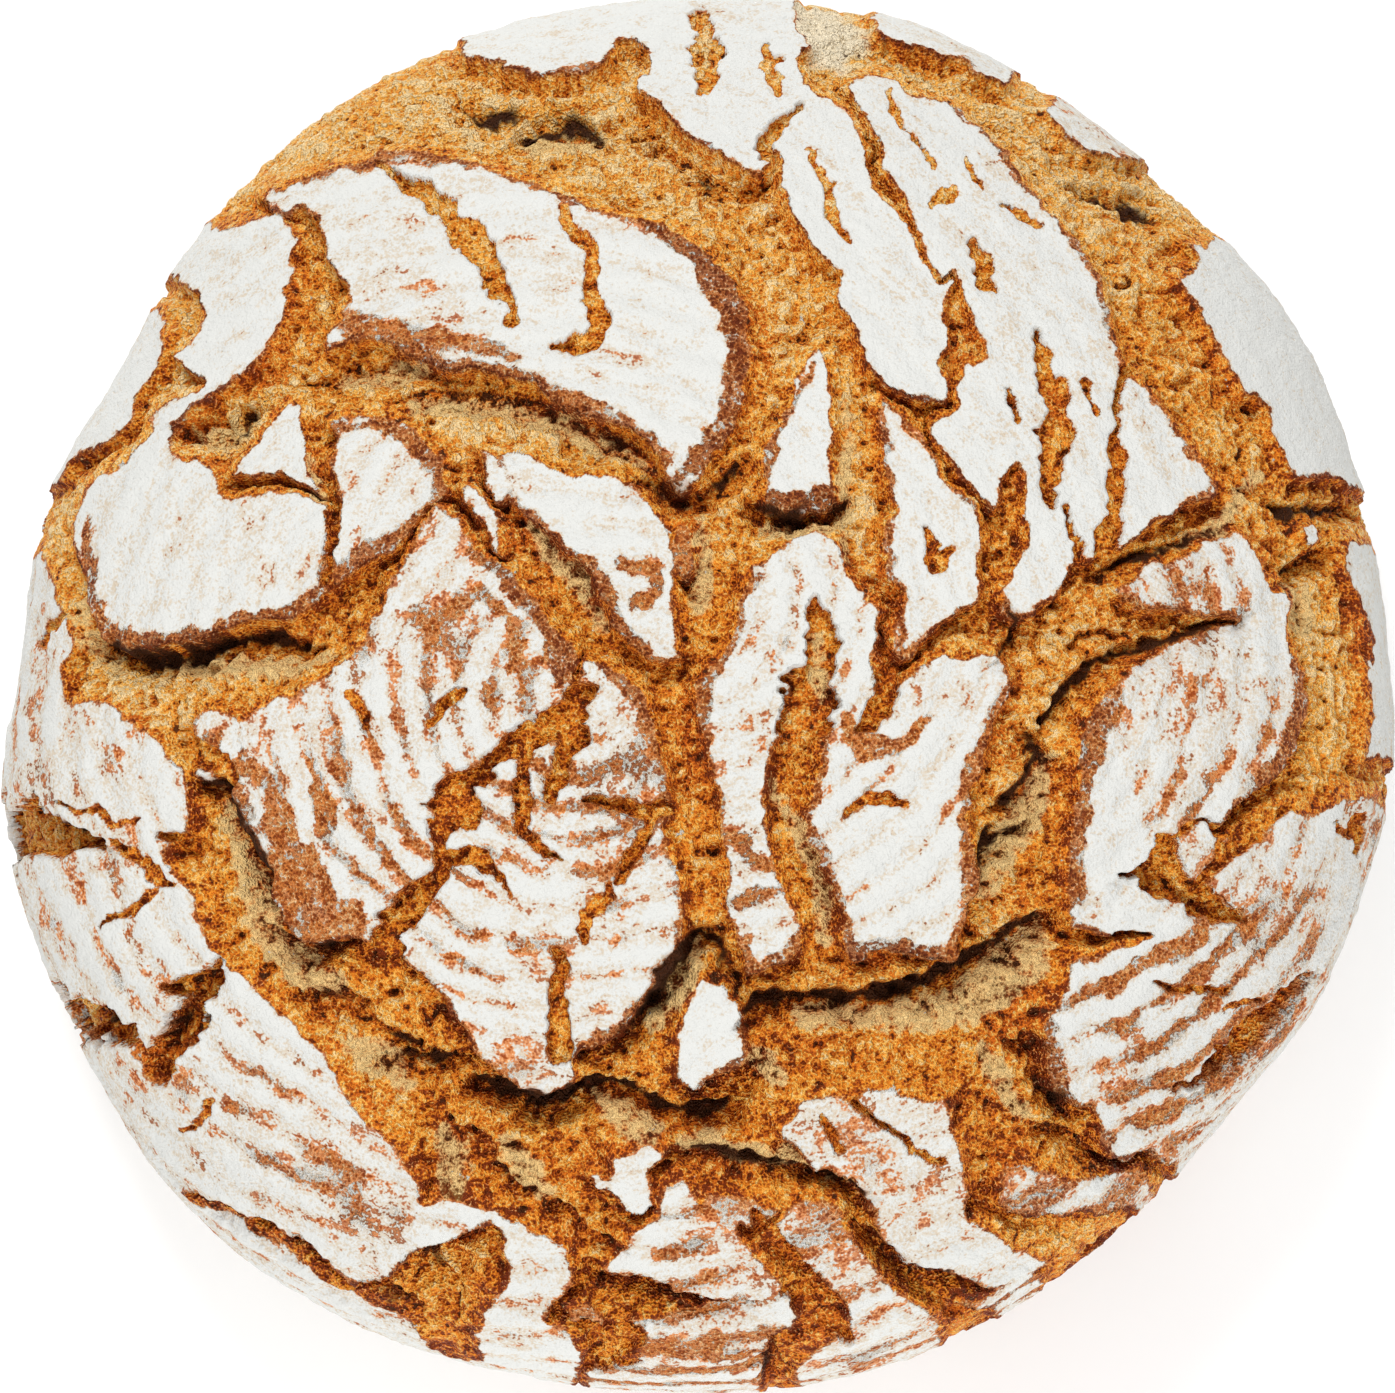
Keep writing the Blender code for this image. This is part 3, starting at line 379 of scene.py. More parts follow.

# Deep tears: depth in millimetres, then x, y and width along the dark line, which is painted shade at the tear's
# bottom.
TEARS = {
    "west furrow": (9, ((100, 640, 6), (140, 654, 14), (175, 652, 16), (204, 642, 11), (232, 636, 12),
                        (262, 634, 13), (300, 640, 6))),
    "brow lens": (6, ((320, 374, 6), (345, 366, 12), (380, 360, 14), (410, 354, 14), (428, 356, 6))),
    "brow furrow": (4, ((412, 394, 4), (450, 388, 12), (500, 392, 12), (550, 402, 12), (590, 418, 10),
                        (625, 436, 12), (650, 456, 6))),
    "brow foot": (7, ((640, 480, 6), (668, 482, 14), (692, 492, 16), (716, 478, 16), (734, 462, 8))),
    "north hollow": (7, ((518, 122, 8), (535, 112, 18), (560, 107, 22), (585, 112, 18), (600, 124, 8))),
    "north ledge": (5, ((462, 92, 4), (484, 104, 16), (510, 98, 16), (540, 92, 6))),
    "north lip": (6, ((612, 112, 8), (640, 116, 16), (664, 134, 14), (690, 152, 10), (712, 168, 12),
                      (745, 178, 12), (762, 174, 6))),
    "tongue foot": (7, ((762, 500, 4), (790, 516, 12), (812, 508, 16), (832, 498, 8))),
    "cheek cavity": (7, ((184, 424, 6), (204, 420, 14), (226, 424, 18), (240, 408, 8))),
    "west rift": (9, ((200, 780, 6), (218, 780, 10), (232, 806, 12), (246, 836, 16), (258, 858, 14),
                      (266, 884, 8))),
    "west rift foot": (6, ((268, 932, 5), (300, 948, 12), (330, 944, 8))),
    "south west rift": (7, ((306, 992, 6), (326, 998, 16), (350, 1002, 10), (380, 1030, 8), (410, 1044, 10))),
    "south rift": (10, ((392, 1058, 8), (420, 1062, 14), (450, 1060, 8))),
    "crown foot": (12, ((474, 1086, 10), (500, 1092, 22), (530, 1102, 24), (560, 1104, 26), (584, 1090, 20),
                        (610, 1086, 14), (640, 1098, 10), (672, 1112, 12), (700, 1120, 16), (730, 1112, 12))),
    "crown side": (8, ((704, 930, 6), (686, 944, 12), (668, 966, 12), (654, 990, 14), (640, 1014, 14),
                       (618, 1040, 12))),
    "slab foot": (11, ((746, 1014, 6), (760, 1003, 12), (800, 998, 14), (830, 1000, 14), (870, 993, 16),
                       (905, 990, 16), (940, 982, 18), (964, 964, 18), (1000, 946, 15), (1024, 928, 12),
                       (1044, 917, 6))),
    "slab corner": (8, ((704, 932, 5), (718, 948, 8), (730, 972, 10), (738, 988, 6))),
    "low shadow": (7, ((692, 1096, 8), (716, 1090, 14), (740, 1080, 12), (752, 1066, 6))),
    "south groove": (6, ((690, 1150, 6), (720, 1158, 8), (752, 1164, 10), (784, 1172, 10), (830, 1180, 8),
                         (866, 1196, 6))),
    "centre groove": (5, ((438, 1108, 8), (452, 1130, 8), (480, 1142, 8), (510, 1188, 8), (545, 1204, 8),
                          (580, 1232, 8), (610, 1246, 6))),
    "hem shadow": (6, ((604, 1276, 6), (640, 1284, 8), (668, 1296, 12), (704, 1302, 12), (736, 1300, 8))),
    "patch foot": (7, ((872, 1234, 6), (888, 1248, 10), (908, 1268, 12), (934, 1274, 10), (952, 1274, 5))),
    "east hole a": (8, ((1034, 738, 14), (1040, 752, 18), (1030, 770, 10), (1014, 794, 12), (1004, 800, 6))),
    "east hole b": (9, ((1016, 826, 8), (1000, 836, 16), (988, 850, 16), (984, 862, 8))),
    "east fissure": (8, ((1240, 615, 3), (1208, 624, 8), (1176, 638, 8), (1140, 646, 8), (1104, 656, 11),
                         (1084, 672, 12), (1062, 696, 11), (1050, 716, 6))),
    "east crease": (6, ((1112, 564, 4), (1140, 556, 9), (1175, 543, 8), (1216, 526, 4))),
    "east crook": (5, ((1084, 636, 8), (1104, 632, 8), (1124, 632, 8), (1142, 642, 6))),
    "shield heel": (7, ((1008, 610, 6), (1022, 622, 12), (1014, 640, 12), (1004, 652, 6))),
    "rim hollow": (6, ((1282, 500, 6), (1300, 508, 12), (1330, 504, 12), (1348, 506, 8))),
    "pebble hole": (7, ((1318, 552, 10), (1306, 562, 8), (1290, 572, 10))),
    "north east hole": (6, ((1086, 178, 8), (1112, 184, 10), (1140, 192, 14), (1160, 204, 8))),
    "low corner": (7, ((1050, 1130, 6), (1080, 1144, 12), (1100, 1164, 14), (1122, 1164, 10),
                       (1150, 1156, 10))),
    "south notch": (7, ((770, 1352, 8), (772, 1372, 20), (768, 1395, 24))),
    "low east hole": (8, ((1030, 1040, 14), (1048, 1050, 16), (1058, 1084, 16), (1070, 1108, 10))),
    "west gash floor": (5, ((10, 812, 6), (50, 820, 10), (78, 838, 10), (100, 844, 4))),
    "west mouth floor": (5, ((62, 1026, 16), (92, 1026, 18), (116, 1030, 10))),
    "west pocket floor": (4, ((210, 975, 6), (188, 985, 10), (172, 1010, 10), (158, 1036, 6))),
    "east gill floor": (5, ((1310, 976, 4), (1288, 998, 8), (1262, 1014, 8), (1240, 1040, 8), (1218, 1062, 4))),
    "east star floor": (4, ((1130, 878, 4), (1152, 872, 8), (1180, 892, 8), (1206, 902, 4))),
    "bay floor": (6, ((210, 1206, 8), (250, 1220, 12), (290, 1238, 16), (325, 1262, 12))),
    "bay floor south": (5, ((322, 1290, 4), (352, 1296, 10), (384, 1296, 12), (412, 1310, 12))),
    "bay pit": (6, ((418, 1268, 10), (424, 1262, 12), (452, 1284, 10), (456, 1300, 8))),
}

# Crust left bare of flour: darkness from 0 to 1, then x, y and width.
BARE = {
    "brow right": (0.9, ((640, 218, 12), (706, 262, 32), (730, 310, 32), (736, 360, 26), (728, 410, 26),
                         (706, 450, 22), (682, 482, 14))),
    "brow top": (0.6, ((300, 182, 6), (345, 170, 10), (395, 155, 14), (470, 160, 10), (560, 192, 12),
                       (640, 220, 12))),
    "brow foot": (0.6, ((334, 346, 10), (400, 346, 12), (485, 368, 12), (535, 382, 14), (580, 405, 18),
                        (630, 425, 22), (664, 460, 24))),
    "brow bare": (0.15, ((350, 325, 30), (400, 332, 24), (450, 338, 18), (490, 348, 20), (520, 360, 14))),
    "cheek foot": (0.65, ((88, 520, 8), (90, 570, 12), (108, 630, 18), (160, 640, 16), (210, 630, 14),
                          (262, 618, 14), (310, 602, 16), (326, 560, 8))),
    "temple head": (0.75, ((338, 426, 8), (385, 422, 14), (422, 446, 20), (440, 478, 16), (434, 498, 10))),
    "temple foot": (0.7, ((424, 506, 10), (404, 524, 18), (370, 552, 18), (340, 574, 18))),
    "fan foot": (0.7, ((512, 490, 8), (545, 528, 14), (580, 562, 18), (606, 596, 18), (622, 630, 20),
                       (650, 650, 14))),
    "fan marks": (0.35, ((620, 566, 16), (650, 560, 12), (660, 592, 16), (640, 600, 18))),
    "tongue foot": (0.95, ((774, 498, 18), (800, 502, 22), (828, 494, 18))),
    "tongue side": (0.6, ((812, 360, 6), (796, 395, 10), (774, 450, 12), (772, 480, 10))),
    "slab head": (0.6, ((750, 580, 14), (736, 612, 20), (722, 645, 22), (704, 682, 20), (706, 720, 14))),
    "slab tongue": (0.45, ((742, 840, 20), (752, 854, 18), (768, 862, 12))),
    "slab tongue marks": (0.45, ((744, 898, 16), (762, 892, 20), (780, 890, 12))),
    "slab tongue foot": (0.7, ((744, 940, 10), (756, 966, 14), (780, 956, 20), (794, 935, 14))),
    "slab foot": (0.85, ((848, 920, 12), (852, 950, 18), (900, 948, 20), (948, 956, 18))),
    "slab right": (0.45, ((1002, 690, 16), (984, 750, 22), (968, 810, 24), (972, 850, 22), (972, 890, 20),
                          (958, 940, 18))),
    "slab left": (0.7, ((820, 730, 14), (814, 780, 14), (808, 825, 14), (830, 868, 14), (842, 900, 12))),
    "slab marks": (0.3, ((846, 720, 14), (866, 745, 20), (900, 740, 16), (930, 720, 10))),
    "crown right": (0.85, ((470, 545, 6), (506, 574, 16), (536, 606, 28), (556, 638, 34), (566, 672, 26))),
    "crown east": (0.75, ((600, 668, 8), (640, 696, 14), (652, 730, 12), (662, 780, 10), (668, 820, 8),
                          (676, 880, 8), (680, 930, 10), (660, 976, 12), (630, 1016, 12), (600, 1044, 14))),
    "crown side": (0.25, ((215, 735, 20), (256, 790, 40), (284, 830, 44), (300, 880, 60), (318, 915, 56),
                          (350, 920, 40))),
    "crown eye": (0.3, ((452, 610, 12), (478, 596, 18), (500, 604, 14), (520, 640, 12), (512, 668, 12))),
    "crown stroke low": (0.3, ((300, 760, 16), (316, 790, 26), (330, 820, 26))),
    "south east head": (0.65, ((1104, 700, 34), (1092, 730, 34), (1088, 780, 22), (1080, 840, 20),
                               (1078, 900, 18))),
    "south east crest": (0.75, ((1286, 606, 10), (1296, 650, 16), (1300, 700, 18), (1290, 745, 22),
                                (1262, 784, 16), (1232, 814, 10))),
    "south east stripe": (0.25, ((1200, 932, 26), (1180, 950, 24), (1140, 965, 18), (1105, 990, 14))),
    "south east foot": (0.7, ((1050, 1020, 8), (1056, 1060, 16), (1072, 1100, 16), (1108, 1140, 12))),
    "shield edge": (0.7, ((950, 106, 5), (985, 134, 9), (1030, 190, 8), (1064, 228, 9), (1092, 276, 11),
                          (1108, 326, 8), (1124, 366, 6))),
    "shield edge low": (0.45, ((1150, 396, 6), (1180, 436, 8), (1208, 478, 8), (1190, 504, 10),
                               (1150, 524, 8))),
    "shield toe": (0.8, ((1004, 598, 10), (1012, 616, 12), (1034, 614, 8))),
    "spur foot": (0.5, ((900, 590, 10), (904, 630, 10), (904, 650, 14), (930, 634, 8))),
    "spur west": (0.7, ((884, 400, 4), (886, 440, 8), (890, 480, 8), (888, 520, 10), (890, 575, 12),
                        (902, 600, 10))),
    "spur east": (0.6, ((906, 422, 6), (932, 460, 8), (960, 492, 8), (980, 520, 6))),
    "cap foot": (0.5, ((552, 72, 6), (606, 62, 6))),
    "cap east": (0.5, ((872, 380, 8), (900, 396, 10), (938, 402, 10))),
    "low north side": (0.8, ((742, 1010, 10), (746, 1050, 14), (730, 1072, 12), (702, 1086, 14))),
    "hem marks": (0.25, ((650, 1345, 10), (700, 1350, 14), (760, 1348, 10))),
}

# Places with thin, striped flour: how much of it is missing, then x, y and width.
THIN = {
    "south east low": (0.22, ((1110, 1030, 30), (1150, 1060, 130), (1200, 1040, 160), (1260, 990, 120),
                              (1310, 930, 90))),
    "south east lobe": (0.06, ((1200, 900, 60), (1260, 870, 80), (1320, 830, 60))),
    "south west band": (0.17, ((214, 1100, 20), (270, 1140, 40), (330, 1180, 50), (390, 1220, 50))),
    "south west patch": (0.12, ((240, 1070, 30), (280, 1100, 30))),
    "brow west": (0.20, ((420, 290, 26), (450, 300, 30), (420, 330, 30))),
    "brow east": (0.20, ((640, 320, 14), (660, 350, 20), (600, 360, 30), (570, 350, 20))),
    "brow crest": (0.22, ((506, 246, 16), (530, 240, 20))),
    "crown west": (0.14, ((300, 760, 60), (360, 830, 90), (400, 870, 60))),
    "crown middle": (0.14, ((560, 740, 60), (620, 800, 80), (600, 880, 60))),
    "crown eye": (0.14, ((430, 600, 50), (480, 640, 80), (510, 690, 60))),
    "hem": (0.12, ((650, 1345, 60), (700, 1350, 90), (760, 1340, 70))),
}

# Places with thick flour, over bare crust too: how thick, then x, y and width.
FLOURED = {
    "south east shoulder": (0.95, ((1112, 780, 40), (1120, 850, 60), (1130, 910, 60))),
    "south east edge": (0.80, ((1340, 830, 40), (1350, 900, 40), (1330, 960, 30))),
    "south east brow": (0.85, ((1250, 560, 30), (1270, 600, 40), (1270, 660, 40))),
    "crown bar west": (0.75, ((232, 734, 12), (230, 752, 16), (226, 762, 12))),
    "crown bar low": (0.72, ((244, 778, 10), (252, 796, 16), (258, 814, 10))),
    "crown bar middle": (0.80, ((290, 742, 16), (298, 770, 22), (302, 800, 22), (308, 836, 16))),
    "crown bar head": (0.80, ((452, 532, 16), (430, 562, 18), (404, 600, 20))),
}

# Pale crumb laid open in the cracks: x, y and width.
CRUMB = {
    "brow lens": ((334, 372, 12), (380, 368, 24), (424, 358, 10)),
    "brow furrow": ((415, 402, 12), (460, 402, 22), (520, 404, 22), (580, 426, 24), (630, 452, 20), (650, 464, 8)),
    "north hollow": ((522, 132, 14), (560, 130, 34), (600, 132, 14)),
    "cheek cavity": ((190, 428, 16), (220, 428, 26), (240, 414, 18)),
    "west furrow": ((130, 668, 10), (200, 662, 22), (280, 666, 18), (330, 655, 8)),
    "crown side": ((700, 940, 8), (682, 968, 32), (664, 1000, 24), (655, 1025, 10)),
    "slab foot east": ((1048, 925, 14), (1030, 960, 48), (1000, 985, 46), (950, 1012, 30), (880, 1018, 20),
                       (800, 1016, 14)),
    "low shadow": ((751, 1052, 8), (768, 1068, 24), (779, 1084, 8)),
    "west rift": ((215, 805, 10), (236, 850, 14), (250, 900, 26), (262, 940, 28), (290, 965, 32), (330, 985, 18)),
    "south west rift": ((345, 1044, 16), (380, 1062, 24), (400, 1090, 16)),
    "centre west": ((437, 1134, 16), (450, 1165, 26), (455, 1195, 16)),
    "centre": ((505, 1145, 16), (525, 1175, 26), (540, 1198, 14)),
    "crown foot": ((593, 1104, 10), (620, 1120, 28), (650, 1132, 24)),
    "east hole": ((1050, 762, 16), (1040, 788, 22), (1000, 862, 34), (990, 885, 24)),
    "east channel": ((1288, 580, 12), (1300, 600, 28), (1310, 622, 16)),
    "slab channel": ((770, 780, 6), (815, 862, 12), (822, 900, 20), (826, 935, 14)),
    "tongue foot": ((770, 526, 10), (800, 528, 18), (830, 518, 12)),
    "low east": ((985, 1050, 14), (1008, 1088, 20), (1020, 1110, 12)),
    "temple side": ((308, 466, 8), (312, 500, 10), (322, 530, 8)),
    "south groove": ((684, 1146, 10), (720, 1151, 18), (760, 1158, 20), (800, 1168, 16), (850, 1184, 10)),
    "cheek side": ((106, 560, 6), (76, 600, 14), (84, 640, 14), (104, 668, 10)),
    "slab lens": ((826, 700, 6), (822, 680, 16), (818, 650, 14), (816, 628, 8)),
    "fan side": ((524, 520, 8), (548, 548, 14), (580, 584, 16), (604, 622, 12)),
    "knob side": ((700, 520, 10), (704, 560, 18), (700, 600, 14)),
    "north channel": ((842, 560, 8), (846, 500, 14), (850, 440, 14), (850, 400, 8)),
    "south east side": ((1180, 540, 8), (1220, 524, 12), (1262, 470, 12)),
}

# Bright golden floors and, below zero, toasted ones: strength, then x, y and width. On slopes that face the light
# the golden strokes also carry painted light.
GOLDEN = {
    "cap arch": (1.0, ((400, 96, 20), (434, 84, 34), (452, 92, 20), (425, 112, 16))),
    "cap bridge": (1.0, ((628, 56, 20), (614, 80, 20), (608, 112, 14))),
    "cap notch": (3.4, ((805, 18, 40), (826, 32, 44), (856, 46, 34))),
    "north slope": (0.7, ((610, 150, 50), (690, 200, 40), (770, 260, 50), (800, 330, 40))),
    "north arch": (0.6, ((440, 135, 24), (520, 150, 24), (580, 170, 24))),
    "north east slope": (1.1, ((880, 60, 40), (960, 110, 44), (1040, 190, 46), (1110, 290, 40))),
    "temple gap": (0.8, ((290, 350, 24), (302, 372, 20), (304, 396, 14))),
    "brow gap": (0.7, ((298, 224, 14), (312, 250, 26), (322, 290, 26), (306, 330, 30))),
    "strip gap": (1.3, ((170, 276, 24), (184, 310, 26), (188, 362, 26), (152, 440, 20), (120, 470, 20),
                        (84, 492, 22), (60, 530, 24))),
    "furrow floor": (0.8, ((420, 420, 16), (480, 438, 34), (560, 444, 24), (620, 462, 16))),
    "tongue gap": (0.6, ((790, 320, 40), (782, 370, 16), (760, 420, 14))),
    "west foot": (-0.2, ((200, 820, 30), (215, 870, 30), (235, 935, 26), (270, 975, 26))),
    "south west foot": (0.4, ((330, 1040, 26), (360, 1085, 36), (400, 1130, 30))),
    "cheek cavity": (1.0, ((180, 440, 20), (206, 432, 30), (240, 420, 26), (262, 392, 20))),
    "centre floor": (-0.3, ((800, 1050, 40), (880, 1060, 50), (940, 1075, 40))),
    "east floor": (0.4, ((1060, 1150, 20), (1090, 1170, 20), (1040, 1240, 24), (1090, 1240, 20))),
    "low corner": (0.5, ((1010, 1232, 20), (1060, 1226, 20), (1110, 1218, 16))),
    "bay": (0.3, ((440, 1300, 40), (450, 1340, 40))),
    "east channel": (0.9, ((1300, 560, 20), (1322, 620, 40), (1332, 690, 50), (1330, 750, 40), (1300, 780, 20))),
    "west channel": (1.2, ((52, 560, 30), (80, 640, 36), (150, 690, 36), (186, 740, 20))),
    "furrow west": (0.7, ((140, 690, 26), (220, 690, 36), (300, 672, 24))),
    "west slope": (0.0, ((190, 850, 26), (220, 930, 30), (262, 990, 26), (300, 1030, 20))),
    "tongue east": (1.0, ((850, 380, 26), (860, 450, 30), (868, 520, 30), (880, 580, 16))),
    "heel east": (0.7, ((1020, 650, 26), (1050, 620, 26), (1100, 600, 26))),
    "bay top": (0.6, ((440, 1262, 24), (486, 1246, 24))),
    "crown slope": (-0.35, ((262, 850, 26), (290, 930, 44), (340, 975, 56), (400, 1000, 66), (450, 1040, 60),
                           (500, 1085, 40))),
    "south centre": (-0.55, ((430, 1100, 30), (480, 1118, 30), (540, 1130, 40), (610, 1136, 30))),
    "south mid": (-0.6, ((660, 1200, 40), (740, 1190, 30), (700, 1120, 40), (800, 1080, 40))),
    "bay wall": (-0.5, ((200, 1206, 16), (290, 1246, 30), (370, 1300, 40), (440, 1330, 50))),
    "slab west": (-0.1, ((706, 640, 16), (692, 690, 26), (700, 780, 26), (712, 880, 26), (722, 960, 26))),
    "slab east": (0.4, ((1026, 690, 20), (1006, 760, 26), (992, 850, 26), (996, 930, 26))),
    "crown channel": (-0.5, ((580, 706, 20), (534, 732, 26), (484, 768, 20), (452, 806, 34), (440, 862, 20),
                             (420, 892, 20), (390, 935, 24))),
    "south east foot": (-0.6, ((1066, 720, 16), (1052, 800, 26), (1046, 900, 26), (1040, 980, 26),
                               (1040, 1060, 20))),
    "fan foot": (-0.3, ((500, 520, 16), (540, 560, 24), (590, 610, 26), (620, 650, 20))),
}


def whole(colour):
    """A colour given as 0 to 255 in display values, as 0 to 1."""
    return tuple(part / 255.0 for part in colour)


def linear(colour):
    """Display values as the linear ones that a shader reads."""
    shares = [part / 12.92 if part <= 0.04045 else ((part + 0.055) / 1.055) ** 2.4 for part in colour]
    return (*shares, 1.0)


def shade(red, green, blue):
    """A shader's colour for display values of 0 to 255."""
    return linear(whole((red, green, blue)))


def length_setting(name, description, default, least, most):
    """A length in metres that the user can change."""
    return FloatProperty(name=name, description=description, default=default, min=least, max=most,
                         subtype="DISTANCE", unit="LENGTH")


def colour_setting(name, description, *default):
    """A colour that the user can change; its default is in display values of 0 to 255."""
    return FloatVectorProperty(name=name, description=description, default=whole(default), min=0.0, max=1.0,
                               subtype="COLOR_GAMMA")


class LoafSettings(bpy.types.PropertyGroup):
    """Sizes and colours of the loaf."""

    width: length_setting("Width", "Width across the girth", 0.300, 0.1, 0.6)
    height: length_setting("Height", "Height from the sole to the crown", 0.105, 0.03, 0.3)
    girth_height: length_setting("Girth height", "Height at which the loaf is widest", 0.032, 0.01, 0.1)
    sole_radius: length_setting("Sole radius", "Radius of the flat sole", 0.112, 0.03, 0.3)
    dome_power: FloatProperty(name="Dome fullness", description="Power of the dome's superellipse",
                              default=2.3, min=2.0, max=4.0)
    floor_depth: length_setting("Crack depth", "Depth of a crack's floor below the plates", 0.0020, 0.0, 0.01)
    ring_pitch: length_setting("Ring pitch", "Distance between two basket rings", 0.0072, 0.003, 0.02)
    ring_height: length_setting("Ring height", "Height of a basket ring over its valleys", 0.0007, 0.0, 0.003)
    cells: IntProperty(name="Cells per piece", description="Grid cells along a side of each piece",
                       default=300, min=40, max=315)
    flour: colour_setting("Flour", "Colour of the flour", 211, 211, 207)
    toast: colour_setting("Toasted crack", "Colour of a crack close to a plate", 192, 90, 18)
    crust: colour_setting("Bare crust", "Colour of crust without flour", 206, 120, 54)
    rim: colour_setting("Rim", "Colour of a plate's baked rim", 168, 82, 32)
    orange: colour_setting("Crack", "Colour of a crack's floor", 238, 140, 34)
    golden: colour_setting("Golden crack", "Colour of a crack's pale parts", 250, 184, 82)
    crumb: colour_setting("Crumb", "Colour of the crumb laid open", 240, 202, 136)
    # The colour at a tear's bottom is painted shade.
    fissure: colour_setting("Fissure", "Colour at the bottom of a tear", 64, 32, 10)


class StageSettings(bpy.types.PropertyGroup):
    """Floor, lights and camera."""

    elevation: FloatProperty(name="Camera elevation", description="Height of the view above the horizon",
                             default=math.radians(80.0), min=0.1, max=1.57, subtype="ANGLE", unit="ROTATION")
    distance: length_setting("Camera distance", "Distance from the camera to the loaf", 1.10, 0.4, 5.0)
    floor: colour_setting("Floor", "Colour of the floor", 255, 255, 255)
    key: FloatProperty(name="Key light", description="Power of the main light", default=13.5, min=0.0,
                       max=500.0, subtype="POWER", unit="POWER")
    sky: FloatProperty(name="Sky", description="Strength of the light from all round", default=0.66, min=0.0,
                       max=5.0)


LATTICE = np.random.default_rng(7).uniform(-1.0, 1.0, (LATTICE_SIDE,) * 3)


def noise(points, size, shift):
    """Smooth value noise from -1 to 1: a fixed random lattice of the given cell, blended smoothly."""
    scaled = points / size + (shift * LATTICE_SPREAD + LATTICE_SHIFT)
    base = np.floor(scaled).astype(np.int64)
    part = scaled - base
    part = part * part * (3.0 - 2.0 * part)
    low = base % LATTICE_SIDE
    high = (base + 1) % LATTICE_SIDE
    total = 0.0
    for pick_x, share_x in ((low[:, 0], 1.0 - part[:, 0]), (high[:, 0], part[:, 0])):
        for pick_y, share_y in ((low[:, 1], 1.0 - part[:, 1]), (high[:, 1], part[:, 1])):
            for pick_z, share_z in ((low[:, 2], 1.0 - part[:, 2]), (high[:, 2], part[:, 2])):
                total = total + share_x * share_y * share_z * LATTICE[pick_x, pick_y, pick_z]
    return total


def smooth_ramp(value, low, high):
    """0 below low, 1 above high, with a smooth rise between them."""
    share = np.clip((value - low) / (high - low), 0.0, 1.0)
    return share * share * (3.0 - 2.0 * share)


def smooth_curve(points, closed, step):
    """A Catmull-Rom curve through the points, sampled about every step."""
    rows = np.array(points, float)
    count = len(rows)
    samples = []
    for index in range(count if closed else count - 1):
        picks = np.array((index - 1, index, index + 1, index + 2))
        picks = picks % count if closed else np.clip(picks, 0, count - 1)
        before, start, end, after = rows[picks]
        pieces = max(1, int(round(np.linalg.norm((end - start)[:2]) / step)))
        part = (np.arange(pieces) / pieces)[:, None]
        samples.append(0.5 * (2.0 * start + (end - before) * part
                              + (2.0 * before - 5.0 * start + 4.0 * end - after) * part ** 2
                              + (3.0 * start - before - 3.0 * end + after) * part ** 3))
    if not closed:
        samples.append(rows[-1:])
    return np.concatenate(samples)


